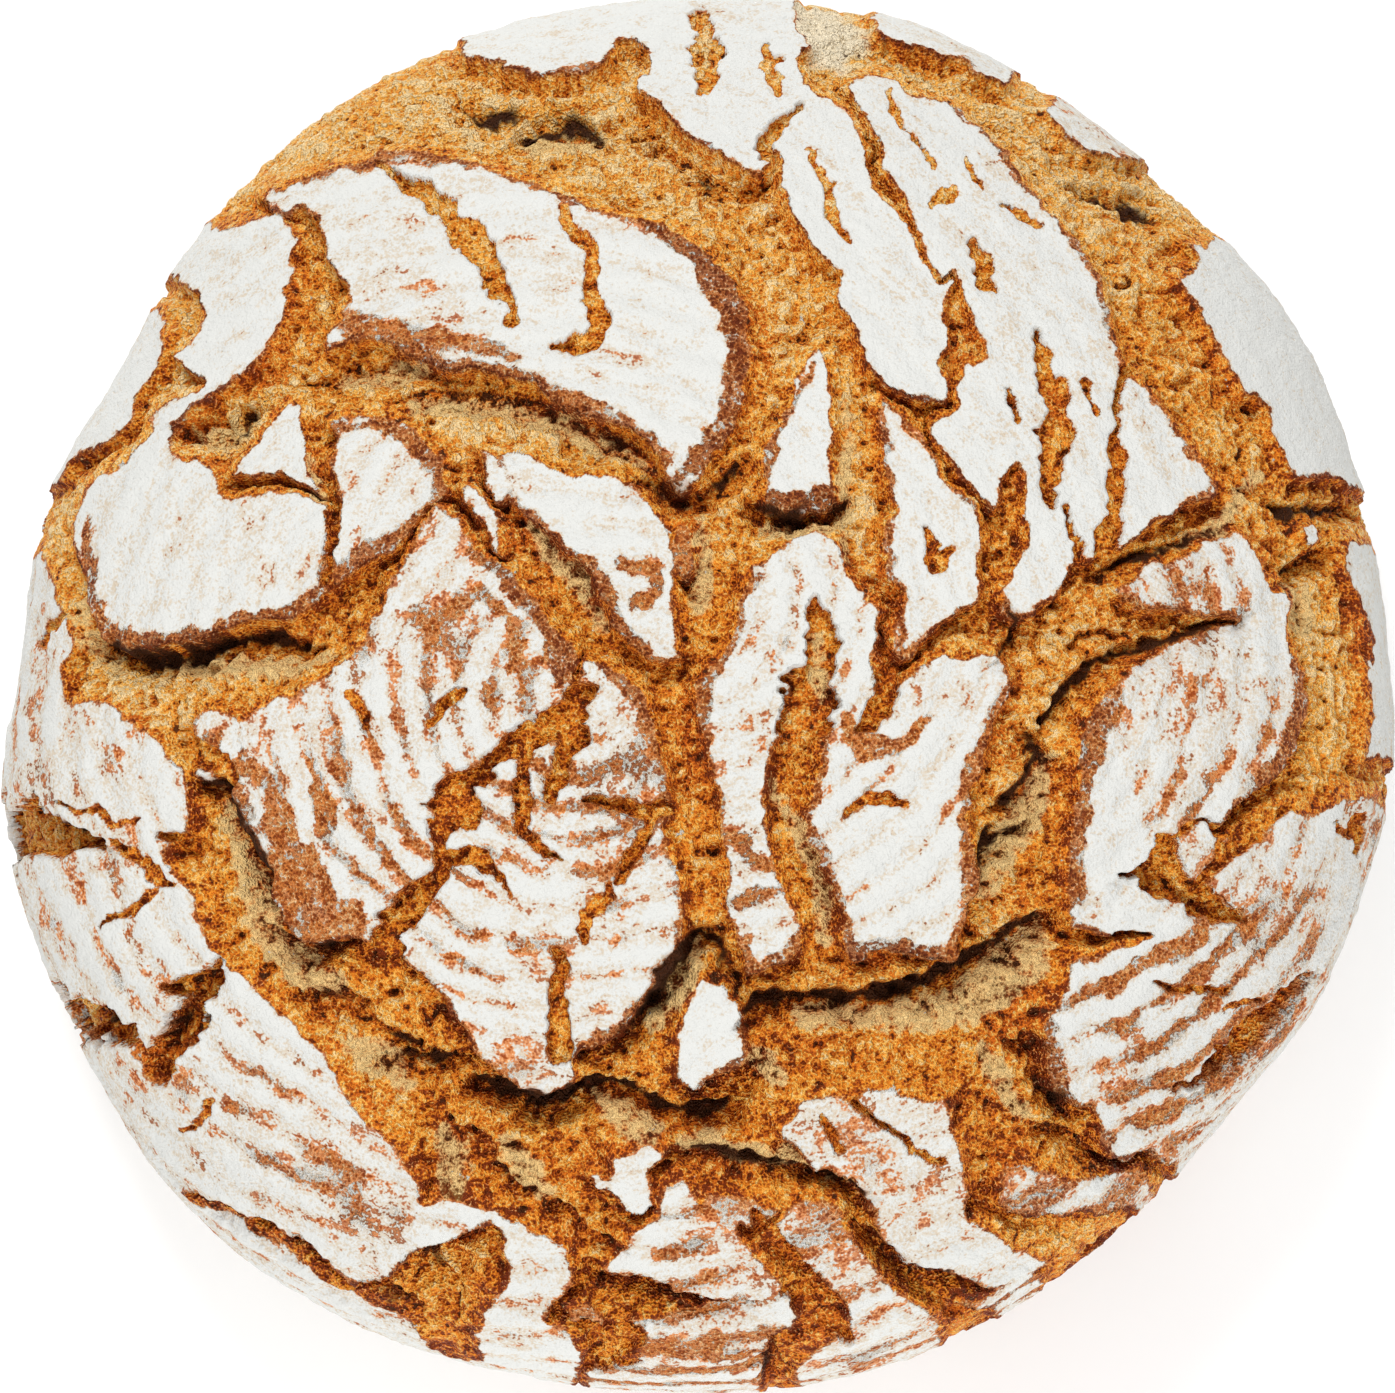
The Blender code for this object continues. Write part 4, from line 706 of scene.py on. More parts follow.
class Dome:
    """The loaf's smooth body, its unrolled disc and the view in which outlines are read.

    Above the girth, share of the radius and share of the height make a superellipse; below it they
    make a quarter ellipse in to the sole.  An unrolled point lies as far from the middle as its arc
    length from the crown.
    """

    def __init__(self, loaf, stage):
        self.pixel = loaf.width / WIDTH_PIXELS
        self.elevation = stage.elevation
        self.distance = stage.distance
        self.focal = (stage.distance + GIRTH_DROP) / self.pixel
        self.girth = loaf.girth_height
        turn = np.linspace(0.0, 1.0, DOME_STEPS + 1) ** 2 * (math.pi / 2.0)
        power = 2.0 / loaf.dome_power
        share = np.sin(turn) ** power
        height = self.girth + (loaf.height - self.girth) * np.cos(turn) ** power
        fall = np.linspace(0.0, math.pi / 2.0, FLANK_STEPS + 1)[1:]
        sole = loaf.sole_radius / (loaf.width / 2.0)
        self.shares = np.concatenate((share, sole + (1.0 - sole) * np.cos(fall)))
        self.heights = np.concatenate((height, self.girth * (1.0 - np.sin(fall))))
        steps = np.hypot(np.diff(self.shares) * loaf.width / 2.0, np.diff(self.heights))
        self.arcs = np.concatenate(((0.0,), np.cumsum(steps)))
        self.total = self.arcs[-1]
        self.side = np.interp(SIDE_SHARE, share, self.arcs[:DOME_STEPS + 1])
        self.read_plan()

    def seen(self, points):
        """Pixels of the view in which points are seen."""
        forward = np.array((0.0, math.cos(self.elevation), -math.sin(self.elevation)))
        upward = np.array((0.0, math.sin(self.elevation), math.cos(self.elevation)))
        offset = points - np.array((0.0, 0.0, VIEW_TARGET_HEIGHT))
        scale = self.focal / (self.distance + offset @ forward)
        return np.stack((MIDDLE_X + offset[:, 0] * scale, MIDDLE_Y - (offset @ upward) * scale), axis=1)

    def read_plan(self):
        """Girth radius for each direction, from the silhouette seen in the view."""
        outline = smooth_curve(SILHOUETTE_PIXELS, True, STROKE_STEP)
        plan = (outline - (MIDDLE_X, MIDDLE_Y)) * self.pixel * (1.0, -1.0)
        for _ in range(12):
            seen = self.seen(np.column_stack((plan, np.full(len(plan), self.girth))))
            plan = plan + (outline - seen) * self.pixel * (1.0, -1.0)
        angle = np.arctan2(plan[:, 1], plan[:, 0])
        order = np.argsort(angle)
        self.turns = np.linspace(-math.pi, math.pi, PLAN_STEPS + 1)
        radius = np.hypot(plan[:, 0], plan[:, 1])[order]
        radii = np.interp(self.turns, angle[order], radius, period=2.0 * math.pi)
        kernel = np.hanning(PLAN_SMOOTH) / np.hanning(PLAN_SMOOTH).sum()
        wrapped = np.concatenate((radii[-PLAN_SMOOTH:-1], radii, radii[1:PLAN_SMOOTH]))
        self.radii = np.convolve(wrapped, kernel, mode="same")[PLAN_SMOOTH - 1:1 - PLAN_SMOOTH]

    def surface(self, flat):
        """Points of the dome for points of the unrolled disc."""
        arc = np.hypot(flat[:, 0], flat[:, 1])
        angle = np.arctan2(flat[:, 1], flat[:, 0])
        reach = np.interp(angle, self.turns, self.radii) * np.interp(arc, self.arcs, self.shares)
        height = np.interp(arc, self.arcs, self.heights)
        return np.column_stack((reach * np.cos(angle), reach * np.sin(angle), height))

    def chart(self, flat):
        """Pixels of the view on top, run on straight outward down the side."""
        arc = np.maximum(np.hypot(flat[:, 0], flat[:, 1]), 1e-9)
        inner = flat * (np.minimum(arc, self.side) / arc)[:, None]
        beyond = np.maximum(arc - self.side, 0.0) * SIDE_GAIN / self.pixel
        outward = flat / arc[:, None] * (1.0, -1.0)
        return self.seen(self.surface(inner)) + outward * beyond[:, None]


def flank_ring(lip):
    """A plate's inner lip, closed by two straight runs outward and an arc far outside."""
    curve = smooth_curve(lip, False, RING_STEP)
    middle = np.array((MIDDLE_X, MIDDLE_Y))
    ends = curve[[-1, 0]] - middle
    angles = np.unwrap(np.arctan2(ends[:, 1], ends[:, 0]))
    sweep = np.linspace(angles[0], angles[1], 24)
    arc = FLANK_REACH * WIDTH_PIXELS / 2.0 * np.column_stack((np.cos(sweep), np.sin(sweep)))
    return np.concatenate((curve, middle + arc))


def ring_distance(points, ring):
    """Signed distance to a closed ring, positive inside, and how far its edge faces downwards."""
    distance = np.full(len(points), -FAR)
    facing = np.zeros(len(points))
    inside = (points > ring.min(axis=0) - FAR) & (points < ring.max(axis=0) + FAR)
    near = np.nonzero(np.all(inside, axis=1))[0]
    x = points[near, 0]
    y = points[near, 1]
    squared = np.full(len(near), FAR * FAR)
    drop = np.zeros(len(near))
    inside = np.zeros(len(near), bool)
    for (x0, y0), (x1, y1) in zip(ring, np.roll(ring, -1, axis=0)):
        run_x = x1 - x0
        run_y = y1 - y0
        share = np.clip(((x - x0) * run_x + (y - y0) * run_y) / max(run_x ** 2 + run_y ** 2, 1e-9), 0.0, 1.0)
        gap_x = x - x0 - share * run_x
        gap_y = y - y0 - share * run_y
        here = gap_x * gap_x + gap_y * gap_y
        closer = here < squared
        squared = np.where(closer, here, squared)
        drop = np.where(closer, gap_y, drop)
        if y0 != y1:
            crossing = (y0 > y) != (y1 > y)
            inside ^= crossing & (x < x0 + (y - y0) * run_x / run_y)
    length = np.sqrt(squared)
    sign = np.where(inside, 1.0, -1.0)
    distance[near] = sign * length
    facing[near] = -sign * drop / np.maximum(length, 1e-6)
    return distance, facing


def stroke_offsets(points, stroke):
    """Nearest distance to a stroke, its side (1 below) and the half width there."""
    curve = smooth_curve(stroke, False, STROKE_STEP)
    distance = np.full(len(points), FAR)
    side = np.zeros(len(points))
    half = np.zeros(len(points))
    low = curve[:, :2].min(axis=0) - FAR
    high = curve[:, :2].max(axis=0) + FAR
    near = np.nonzero(np.all((points > low) & (points < high), axis=1))[0]
    here = points[near]
    best = np.full(len(near), FAR)
    best_side = np.zeros(len(near))
    best_half = np.zeros(len(near))
    for start, end in zip(curve[:-1], curve[1:]):
        run = (end - start)[:2]
        share = np.clip(((here - start[:2]) @ run) / max(run @ run, 1e-9), 0.0, 1.0)
        gap_x = here[:, 0] - start[0] - share * run[0]
        gap_y = here[:, 1] - start[1] - share * run[1]
        length = np.hypot(gap_x, gap_y)
        closer = length < best
        best = np.where(closer, length, best)
        best_side = np.where(closer, np.sign(gap_y * abs(run[0]) - gap_x * run[1] * np.sign(run[0])), best_side)
        best_half = np.where(closer, (start[2] + (end[2] - start[2]) * share) / 2.0, best_half)
    distance[near] = best
    side[near] = best_side
    half[near] = best_half
    return distance, side, half


def within(points, stroke, low, high):
    """Share by which points lie inside a stroke: 0 at low pixels inside its edge, 1 at high."""
    gap, _, half = stroke_offsets(points, stroke)
    return smooth_ramp(half - gap, low, high)


def soften(grid, reach):
    """A grid of values averaged twice over squares that reach the given number of cells each way."""
    width = 2 * reach + 1
    for _ in range(4):
        total = np.cumsum(np.pad(grid, ((reach + 1, reach), (0, 0)), mode="edge"), axis=0)
        grid = ((total[width:] - total[:-width]) / width).T
    return grid


class CrustFields:
    """What the crust is like at each point: its relief, flour, darkness, crumb and golden tone, and the masks
    where shade and light are painted.
    """

    def __init__(self, dome, loaf, flat, side):
        self.places = dome.surface(flat)
        self.arc = np.hypot(flat[:, 0], flat[:, 1])
        self.side = side
        self.dome = dome
        self.loaf = loaf
        self.pixels = self.ragged(dome.chart(flat), WANDER, 1)
        self.read_plates()
        self.shape()
        self.paint()

    def ragged(self, pixels, octaves, shift):
        """Chart pixels moved about by noise, so that every edge is ragged."""
        moved = pixels.copy()
        for index, (size, amount) in enumerate(octaves):
            moved[:, 0] += amount * noise(self.places, size, shift + 2 * index)
            moved[:, 1] += amount * noise(self.places, size, shift + 2 * index + 1)
        return moved

    def read_plates(self):
        """The nearest plate's edge distance in metres, its flour, rim width and basket rings."""
        count = len(self.pixels)
        edge = np.full(count, -FAR)
        self.facing = np.zeros(count)
        self.cover = np.full(count, 0.5)
        self.rim = np.full(count, 5.0)
        self.stripe = np.zeros(count)
        centre = np.full((count, 2), 500.0)
        for closed, plates in ((True, ISLANDS), (False, FLANKS)):
            for cover, rim, stripe, heart, outline in plates.values():
                ring = smooth_curve(outline, True, RING_STEP) if closed else flank_ring(outline)
                distance, facing = ring_distance(self.pixels, ring)
                nearer = distance > edge
                edge = np.where(nearer, distance, edge)
                self.facing = np.where(nearer, facing, self.facing)
                self.cover = np.where(nearer, cover, self.cover)
                self.rim = np.where(nearer, rim, self.rim)
                self.stripe = np.where(nearer, stripe, self.stripe)
                centre[nearer] = heart
        for outline in BAYS.values():
            distance, facing = ring_distance(self.pixels, smooth_curve(outline, True, RING_STEP))
            nearer = -distance < edge
            edge = np.where(nearer, -distance, edge)
            self.facing = np.where(nearer, -facing, self.facing)
        band = self.arc - (self.dome.total - CRACK_END) + 0.014 * noise(self.places, 0.02, 21)
        band = band + 0.005 * noise(self.places, 0.006, 22)
        self.edge = np.maximum(edge * self.dome.pixel, np.minimum(band, 0.012))
        away = self.pixels - centre
        turn = np.arctan2(away[:, 1], away[:, 0])
        away = np.hypot(*away.T) * self.dome.pixel
        round_ring = STREAK_REACH * np.cos(turn), STREAK_REACH * np.sin(turn)
        self.ring = np.column_stack((away * STREAK_STRETCH, *round_ring))
        self.wave = np.cos(2.0 * math.pi * (away / self.loaf.ring_pitch + 0.28 * noise(self.places, 0.02, 23)))

    def shape(self):
        """Relief: plates near the dome's level, rough floors below them, tears deeper still.

        A plate's edge is steep where it faces down the picture and soft where it faces up.
        """
        spread = partial(noise, self.places)
        down = self.facing * 0.5 + 0.5
        slope = 0.0006 + 0.0050 * (1.0 - down) ** 1.5
        raised = smooth_ramp(self.edge, -slope, 0.0002)
        below = np.minimum(self.edge, 0.0)
        floor = self.loaf.floor_depth + (0.0002 + 0.0022 * down * down) * np.exp(below / 0.007)
        rough = 0.0009 * spread(0.011, 31) + 0.0020 * (0.28 - np.abs(spread(0.0056, 32)))
        rough = rough + 0.0016 * (0.28 - np.abs(spread(0.0026, 33))) + 0.0009 * spread(0.0014, 34)
        pits = smooth_ramp(spread(0.0031, 35) + 0.4 * spread(0.008, 36), 0.50, 0.85)
        rough = rough + 0.0014 * pits
        down_side = smooth_ramp(self.arc, self.dome.side - 0.030, self.dome.side + 0.008)
        floor = (floor + rough) * (1.0 - 0.58 * down_side)
        lip = 0.0005 * np.exp(-np.maximum(self.edge, 0.0) / 0.004) * (0.3 + down)
        grain = 0.00035 * spread(0.006, 37) + 0.00018 * spread(0.0021, 38) + 0.00012 * spread(0.0012, 39)
        rings = self.loaf.ring_height / 2.0 * self.wave * np.minimum(self.stripe + 0.2, 0.8)
        height = raised * (lip + grain + rings) - (1.0 - raised) * floor
        inward = -self.edge / self.dome.pixel
        self.shallow = np.zeros(len(height))
        clump = spread(0.0042, 45)
        crumbs = spread(0.0017, 49)
        for depth, stroke in CRACKS.values():
            gap, _, half = stroke_offsets(self.pixels, stroke)
            half = half * (1.0 + 0.50 * clump + 0.30 * crumbs)
            inside = smooth_ramp(half - gap, -2.0, 2.0)
            sunk = -(depth * 0.001 + 0.7 * rough) * inside + height * (1.0 - inside)
            height = np.minimum(height, sunk)
            inward = np.maximum(inward, half - gap)
            raised = raised * (1.0 - inside)
            if depth <= SHALLOW_CRACK:
                self.shallow = np.maximum(self.shallow, inside)
        self.inward = inward
        self.tear_shade = np.zeros(len(height))
        torn = np.zeros(len(height))
        breaks = spread(0.0085, 48)
        for depth, stroke in TEARS.values():
            gap, side, half = stroke_offsets(self.pixels, stroke)
            past = np.maximum(gap - half * (0.7 + 0.35 * clump), 0.0) * self.dome.pixel
            reach = np.where(side < 0.0, 0.0014, 0.0055)
            fall = 1.0 - smooth_ramp(past, 0.0, reach)
            height = height - depth * TEAR_DEPTH * fall * (1.0 - 0.5 * raised)
            torn = np.maximum(torn, fall)
            # A broken band along each tear's middle, where the shader paints shade in the tears' dark colour.
            narrow = half * (0.80 + 0.60 * clump + 0.45 * crumbs) - gap
            broken = smooth_ramp(breaks + 0.25 * (depth - 6.5), -0.25, 0.25)
            self.tear_shade = np.maximum(self.tear_shade, smooth_ramp(narrow, -2.0, 1.5) * broken)
        height = height - torn * (0.0006 * spread(0.0024, 46) + 0.0005 * spread(0.0013, 47))
        self.torn = torn
        fade = 1.0 - smooth_ramp(self.arc, self.dome.total - FADE_START, self.dome.total - FADE_END)
        self.height = height * fade
        # How far a point lies below its neighbours; the shader darkens the floors by it, as painted shade in
        # hollows.
        sunk = (rough + 0.0030 * torn).reshape(self.side, self.side)
        hollow = (sunk - soften(sunk, 2)) / 0.00045 + (sunk - soften(sunk, 8)) / 0.0016
        self.hollow = np.clip(hollow.reshape(-1), -2.0, 3.0)

    def paint(self):
        """Flour, darkness (partly painted shade on down-facing rims), painted shade under plate edges, crumb and
        golden tone (partly painted light on the far side), each a number that the crust's shader reads.
        """
        pixels = self.ragged(self.pixels, PAINT_WANDER, 41)
        broad = noise(self.places, 0.019, 50)
        blotch = noise(self.places, 0.011, 51) * 0.6 + noise(self.places, 0.005, 52) * 0.6
        down = self.facing * 0.5 + 0.5
        edge = self.edge / self.dome.pixel
        rim_width = self.rim * (0.02 + 0.40 * down * down) * (1.0 + 0.6 * blotch)
        inner = smooth_ramp(edge, rim_width - 1.0, rim_width + 4.0)
        patchy = np.clip(0.7 + 1.4 * broad + 0.5 * blotch, 0.0, 1.6)
        flour = self.cover + 0.30 * self.stripe * self.wave * patchy
        flour = flour + 0.30 * blotch * (0.25 + self.stripe) + 0.14 * broad
        # A dark band along each rim: the baked rim's own colour, made much darker where the edge faces down the
        # picture, partly as painted shade.
        dark = np.exp(-((edge - rim_width * 0.5) / 2.2) ** 2) * (0.12 + 0.85 * down) * (0.75 + 0.6 * blotch)
        # Painted shade on the floor under plate edges that face down the picture, away from the light, weaker on
        # the far side where the light falls.
        shaded = smooth_ramp(self.facing, -0.75, 0.35)
        self.wall = shaded * np.exp(np.minimum(edge, 0.0) / 17.0) * smooth_ramp(-edge, -2.0, 2.0)
        far_side = smooth_ramp(self.places[:, 1], 0.020, 0.125)
        near_side = smooth_ramp(-self.places[:, 1], 0.020, 0.100)
        self.wall *= (0.8 + 0.6 * blotch) * (1.0 - 0.55 * far_side)
        for amount, stroke in THIN.values():
            flour = flour - amount * within(pixels, stroke, -10.0, 10.0)
        bare = np.zeros(len(edge))
        for amount, stroke in BARE.values():
            gap, _, half = stroke_offsets(pixels, stroke)
            bare = np.maximum(bare, smooth_ramp(half - gap, -5.0, 5.0))
            baked = 0.6 * amount * smooth_ramp(half - gap, -6.0, 5.0) * smooth_ramp(edge, -4.0, 1.0)
            dark = np.maximum(dark, baked)
        flour = flour * inner + 0.28 * (1.0 - inner)
        flour = flour + (0.30 - flour) * bare
        for amount, stroke in FLOURED.values():
            flour = flour + np.maximum(amount - flour, 0.0) * within(pixels, stroke, -4.0, 4.0)
        plate = smooth_ramp(-self.inward, -0.5, 1.5)
        self.flour = flour * plate + (0.10 + 0.06 * broad) * (1.0 - plate)
        self.coarse = 0.7 * noise(self.places, 0.011, 53) + 0.6 * noise(self.places, 0.0055, 54)
        self.warmth = 0.8 * noise(self.places, 0.013, 55) + 0.4 * noise(self.places, 0.006, 56)
        self.dark = np.clip(dark, 0.0, 1.0)
        self.crumb = np.zeros(len(edge))
        for stroke in CRUMB.values():
            self.crumb = np.maximum(self.crumb, within(pixels, stroke, -12.0, 4.0))
        self.crumb = np.maximum(self.crumb, 0.40 * self.torn)
        # Floors lighter and more golden on the far side and darker on the near side: painted light and shade from
        # where the light falls; shallow cracks follow the same.
        self.golden = far_side * (0.90 + 0.8 * broad) - near_side * (0.55 + 0.7 * broad)
        self.golden += (1.5 * far_side - 0.3 - self.golden) * self.shallow
        for amount, stroke in GOLDEN.values():
            share = within(pixels, stroke, -18.0, 6.0)
            self.golden = self.golden * (1.0 - share) + amount * share


class Signal:
    """One output socket of a shader's nodes; arithmetic on it adds Math nodes."""

    def __init__(self, tree, socket=None):
        self.tree = tree
        self.socket = socket

    def node(self, kind, settings=None, sockets=None, output=0):
        """Adds any node: its settings first, then the values or links of its sockets."""
        made = self.tree.nodes.new(kind)
        for name, value in (settings or {}).items():
            setattr(made, name, value)
        for name, value in (sockets or {}).items():
            if isinstance(value, Signal):
                self.tree.links.new(value.socket, made.inputs[name])
            else:
                made.inputs[name].default_value = value
        return Signal(self.tree, made.outputs[output])

    def maths(self, operation, *values):
        """A Math node on this number and the others."""
        return self.node("ShaderNodeMath", {"operation": operation}, dict(enumerate(values)))

    def __add__(self, other):
        return self.maths("ADD", self, other)

    __radd__ = __add__

    def __sub__(self, other):
        return self.maths("SUBTRACT", self, other)

    def __rsub__(self, other):
        return self.maths("SUBTRACT", other, self)

    def __mul__(self, other):
        return self.maths("MULTIPLY", self, other)

    __rmul__ = __mul__

    def step(self, low, high):
        """0 below low, 1 above high, with a smooth rise between them."""
        return self.node("ShaderNodeMapRange", {"interpolation_type": "SMOOTHSTEP"},
                         {"Value": self, "From Min": low, "From Max": high})

    def field(self, name, output="Fac"):
        """A number or a place stored at the mesh's points."""
        return self.node("ShaderNodeAttribute", {"attribute_name": name}, output=output)

    def feed(self, shader, name):
        """Links this socket to one of a shader's."""
        self.tree.links.new(self.socket, shader.inputs[name])

    def grain(self, size, detail=2.0, rough=0.5, place=None):
        """Noise from about -1 to 1 with grains of the given size in metres, on Object coordinates."""
        place = place or self.node("ShaderNodeTexCoord", output="Object")
        noise_node = self.node("ShaderNodeTexNoise", None,
                               {"Vector": place, "Scale": 1.0 / size, "Detail": detail, "Roughness": rough})
        return noise_node * 4.0 - 2.0

    def blend(self, share, first, second):
        """A colour mixed from two others by a share."""
        return self.node("ShaderNodeMix", {"data_type": "RGBA"}, {0: share, 6: first, 7: second}, 2)


def surface_material(name):
    """A new material, the start of its shader maths and its surface shader."""
    material = bpy.data.materials.new(name)
    material.use_nodes = True
    tree = material.node_tree
    return material, Signal(tree), tree.nodes["Principled BSDF"]


def crust_material(loaf):
    """Flour over baked crust, with torn golden floors, crumb and dark fissures between the plates; shade in the
    tears, pores, crevices, hollows and under plate edges, and glints of light, are painted into the colour.
    """
    material, start, shader = surface_material("floured crust")
    numbers = [start.field(name) for name in SHADED[:-1]]
    flour, dark, crumb, golden, inward, hollow, wall, tear_shade, coarse, warmth = numbers
    ring = start.field(SHADED[-1], "Vector")
    speck = start.grain(SPECK, 1.0)
    fine = start.grain(FINE, 1.0, 0.6)
    middling = start.grain(MIDDLING, 1.0, 0.55)
    streak = start.grain(STREAK, 2.0, 0.6, ring)

    # Flour lies where its thickness, broken up by streaks, grains and flakes, is over about a half.
    place = start.node("ShaderNodeTexCoord", output="Object")
    jitter = start.node("ShaderNodeCombineXYZ", None, {"X": middling, "Y": fine, "Z": coarse})
    jitter = start.node("ShaderNodeVectorMath", {"operation": "MULTIPLY_ADD"},
                        {0: jitter, 1: (FLAKE / 4.0,) * 3, 2: place})
    flake = start.node("ShaderNodeTexVoronoi", None, {"Vector": jitter, "Scale": 1.0 / FLAKE}, 1)
    thickness = flour + streak * 0.18 + middling * 0.13 + fine * 0.12 + speck * 0.07 + (flake - 0.5) * 0.34
    cover = thickness.step(0.46, 0.54)
    # Pale specks: flour dust, and painted glints of light.
    dust_and_glints = (fine * 0.30 + speck * 0.75).step(0.42, 0.85)

    # Bare crust, dark on the rims, partly as painted shade where a rim faces down, with a thin veil of flour and
    # pale specks of flour dust and painted glints.
    baked = 0.5 + middling * 0.22 + fine * 0.30 + speck * 0.22 + streak * 0.14
    crust = start.blend(baked.step(0.10, 0.50), shade(146, 64, 16), linear(loaf.crust))
    crust = start.blend(baked.step(0.50, 1.00), crust, shade(240, 184, 114))
    rim = start.blend(baked.step(0.25, 0.80), shade(104, 40, 10), linear(loaf.rim))
    crust = start.blend((dark * 1.1 - baked * 0.45 + 0.16).step(0.05, 0.85), crust, rim)
    crust = start.blend(thickness.step(0.22, 0.46) * (0.18 - dark * 0.16), crust, shade(234, 206, 172))
    crust = start.blend(dust_and_glints * (0.52 - dark * 0.2), crust, shade(246, 212, 172))

    # A crack's floor goes from toasted through orange and golden to pale as its tone rises. The tone is lowered as
    # painted shade in hollows and under plate edges that face down, and the golden tone adds painted light on the
    # far side and painted shade on the near side.
    tone = 0.41 + inward.step(0.0, 24.0) * 0.18 + coarse * 0.15 + middling * 0.19 + fine * 0.27 + speck * 0.24
    tone = tone + golden * 0.26 - dark * 0.14 - wall * 0.28 - hollow * 0.13
    orange = start.blend(warmth.step(-0.2, 0.8), linear(loaf.orange), shade(226, 116, 26))
    floor = start.blend(tone.step(0.0, 0.26), shade(122, 46, 6), linear(loaf.toast))
    floor = start.blend(tone.step(0.18, 0.46), floor, orange)
    floor = start.blend(tone.step(0.44, 0.76), floor, linear(loaf.golden))
    floor = start.blend(tone.step(0.74, 1.15), floor, shade(252, 220, 162))
    floor = start.blend(golden.step(1.5, 3.4) * 0.7, floor, shade(250, 240, 216))

    # Crumb laid open in the floor, its pores and fine crevices painted dark as shade, and pale specks of flour
    # dust and painted glints.
    # The pale crumb is kept out of hollows too, as painted shade.
    open_crumb = crumb + inward.step(14.0, 44.0) * 0.10 + middling * 0.34 + fine * 0.26 - hollow * 0.10
    khaki = open_crumb.step(0.50, 1.10)
    crumb_tone = start.blend((tone + 0.28).step(0.1, 0.8), shade(134, 86, 32), linear(loaf.crumb))
    floor = start.blend(khaki * 0.9, floor, crumb_tone)
    # Pores in the crumb, painted dark as the shade inside them.
    pore_shade = (hollow * 0.24 - fine * 0.45 - middling * 0.42 + khaki * 0.34).step(0.64, 0.92)
    floor = start.blend(pore_shade * 0.85, floor, shade(70, 38, 14))
    # Thin crevices in the floor, painted dark as the shade in them.
    crevice_shade = (middling * 0.6 + fine * 0.5).maths("ABSOLUTE")
    crevice_shade = (1.0 - crevice_shade.step(0.01, 0.08)) * (coarse + hollow * 0.3).step(0.0, 0.7)
    floor = start.blend(crevice_shade * 0.6, floor, shade(104, 54, 20))
    # Pale specks on the floor, strongest on dark floors: painted glints, and flour dust.
    floor_dust_and_glints = dust_and_glints * (0.32 + (1.0 - tone.step(0.2, 0.6)) * 0.25)
    floor = start.blend(floor_dust_and_glints, floor, shade(252, 214, 150))

    # Crust and floor together, painted shade in the tears' dark colour at their bottoms, and a brown brim under
    # the flour's edge.
    bare = start.blend(inward.step(-1.0, 1.0), crust, floor)
    bare = start.blend(tear_shade * (0.95 + fine * 0.2).step(0.5, 0.9), bare, linear(loaf.fissure))
    patchy = coarse + middling * 0.5
    brim = thickness.step(0.37, 0.45) * (1.0 - inward.step(-2.0, 1.0)) * patchy.step(-0.2, 0.8)
    bare = start.blend(brim * 0.8, bare, shade(104, 56, 30))

    # Flour, greyer where it is thin and split by hairlines.
    white = start.blend((thickness + streak * 0.10 + fine * 0.10 + speck * 0.14).step(0.42, 0.92),
                        shade(202, 188, 168), linear(loaf.flour))
    split = (warmth + middling * 0.14 + fine * 0.07).maths("ABSOLUTE")
    hairline = (1.0 - split.step(0.008, 0.032)) * patchy.step(0.05, 0.55)
    white = start.blend(hairline * 0.85, white, shade(112, 72, 38))

    # Flour is left off where tear bottoms are painted with shade.
    start.blend(cover * (1.0 - tear_shade), bare, white).feed(shader, "Base Color")
    (0.60 + cover * 0.35).feed(shader, "Roughness")
    shader.inputs["Specular IOR Level"].default_value = 0.15
    dusted = flour.step(0.40, 0.56)
    bumps = (fine * 0.45 + speck * 0.35) * (1.0 - dusted * 0.85) + dusted * 0.12
    bump = start.node("ShaderNodeBump", None, {"Height": bumps, "Strength": 0.9, "Distance": 0.0012})
    bump.feed(shader, "Normal")
    return material


def sole_material(loaf):
    """Even brown crust with a thin dust of flour."""
    material, start, shader = surface_material("sole crust")
    middling = start.grain(0.006, 4.0, 0.6)
    fine = start.grain(0.0012, 3.0, 0.6)
    crust = start.blend((middling * 0.4 + fine * 0.3).step(-0.5, 0.5), linear(loaf.crust), shade(140, 80, 44))
    dust = (middling * 0.5 + fine * 0.4).step(0.25, 0.65)
    start.blend(dust * 0.8, crust, linear(loaf.flour)).feed(shader, "Base Color")
    shader.inputs["Roughness"].default_value = 0.85
    bump = start.node("ShaderNodeBump", None, {"Height": fine + middling, "Strength": 0.5, "Distance": 0.0008})
    bump.feed(shader, "Normal")
    return material


def link_piece(name, mesh, material):
    """Puts a mesh into the scene as a piece of the loaf."""
    mesh.materials.append(material)
    piece = bpy.data.objects.new(name, mesh)
    bpy.context.scene.collection.objects.link(piece)
    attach(piece, "root")
    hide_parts("loaf")
    return piece


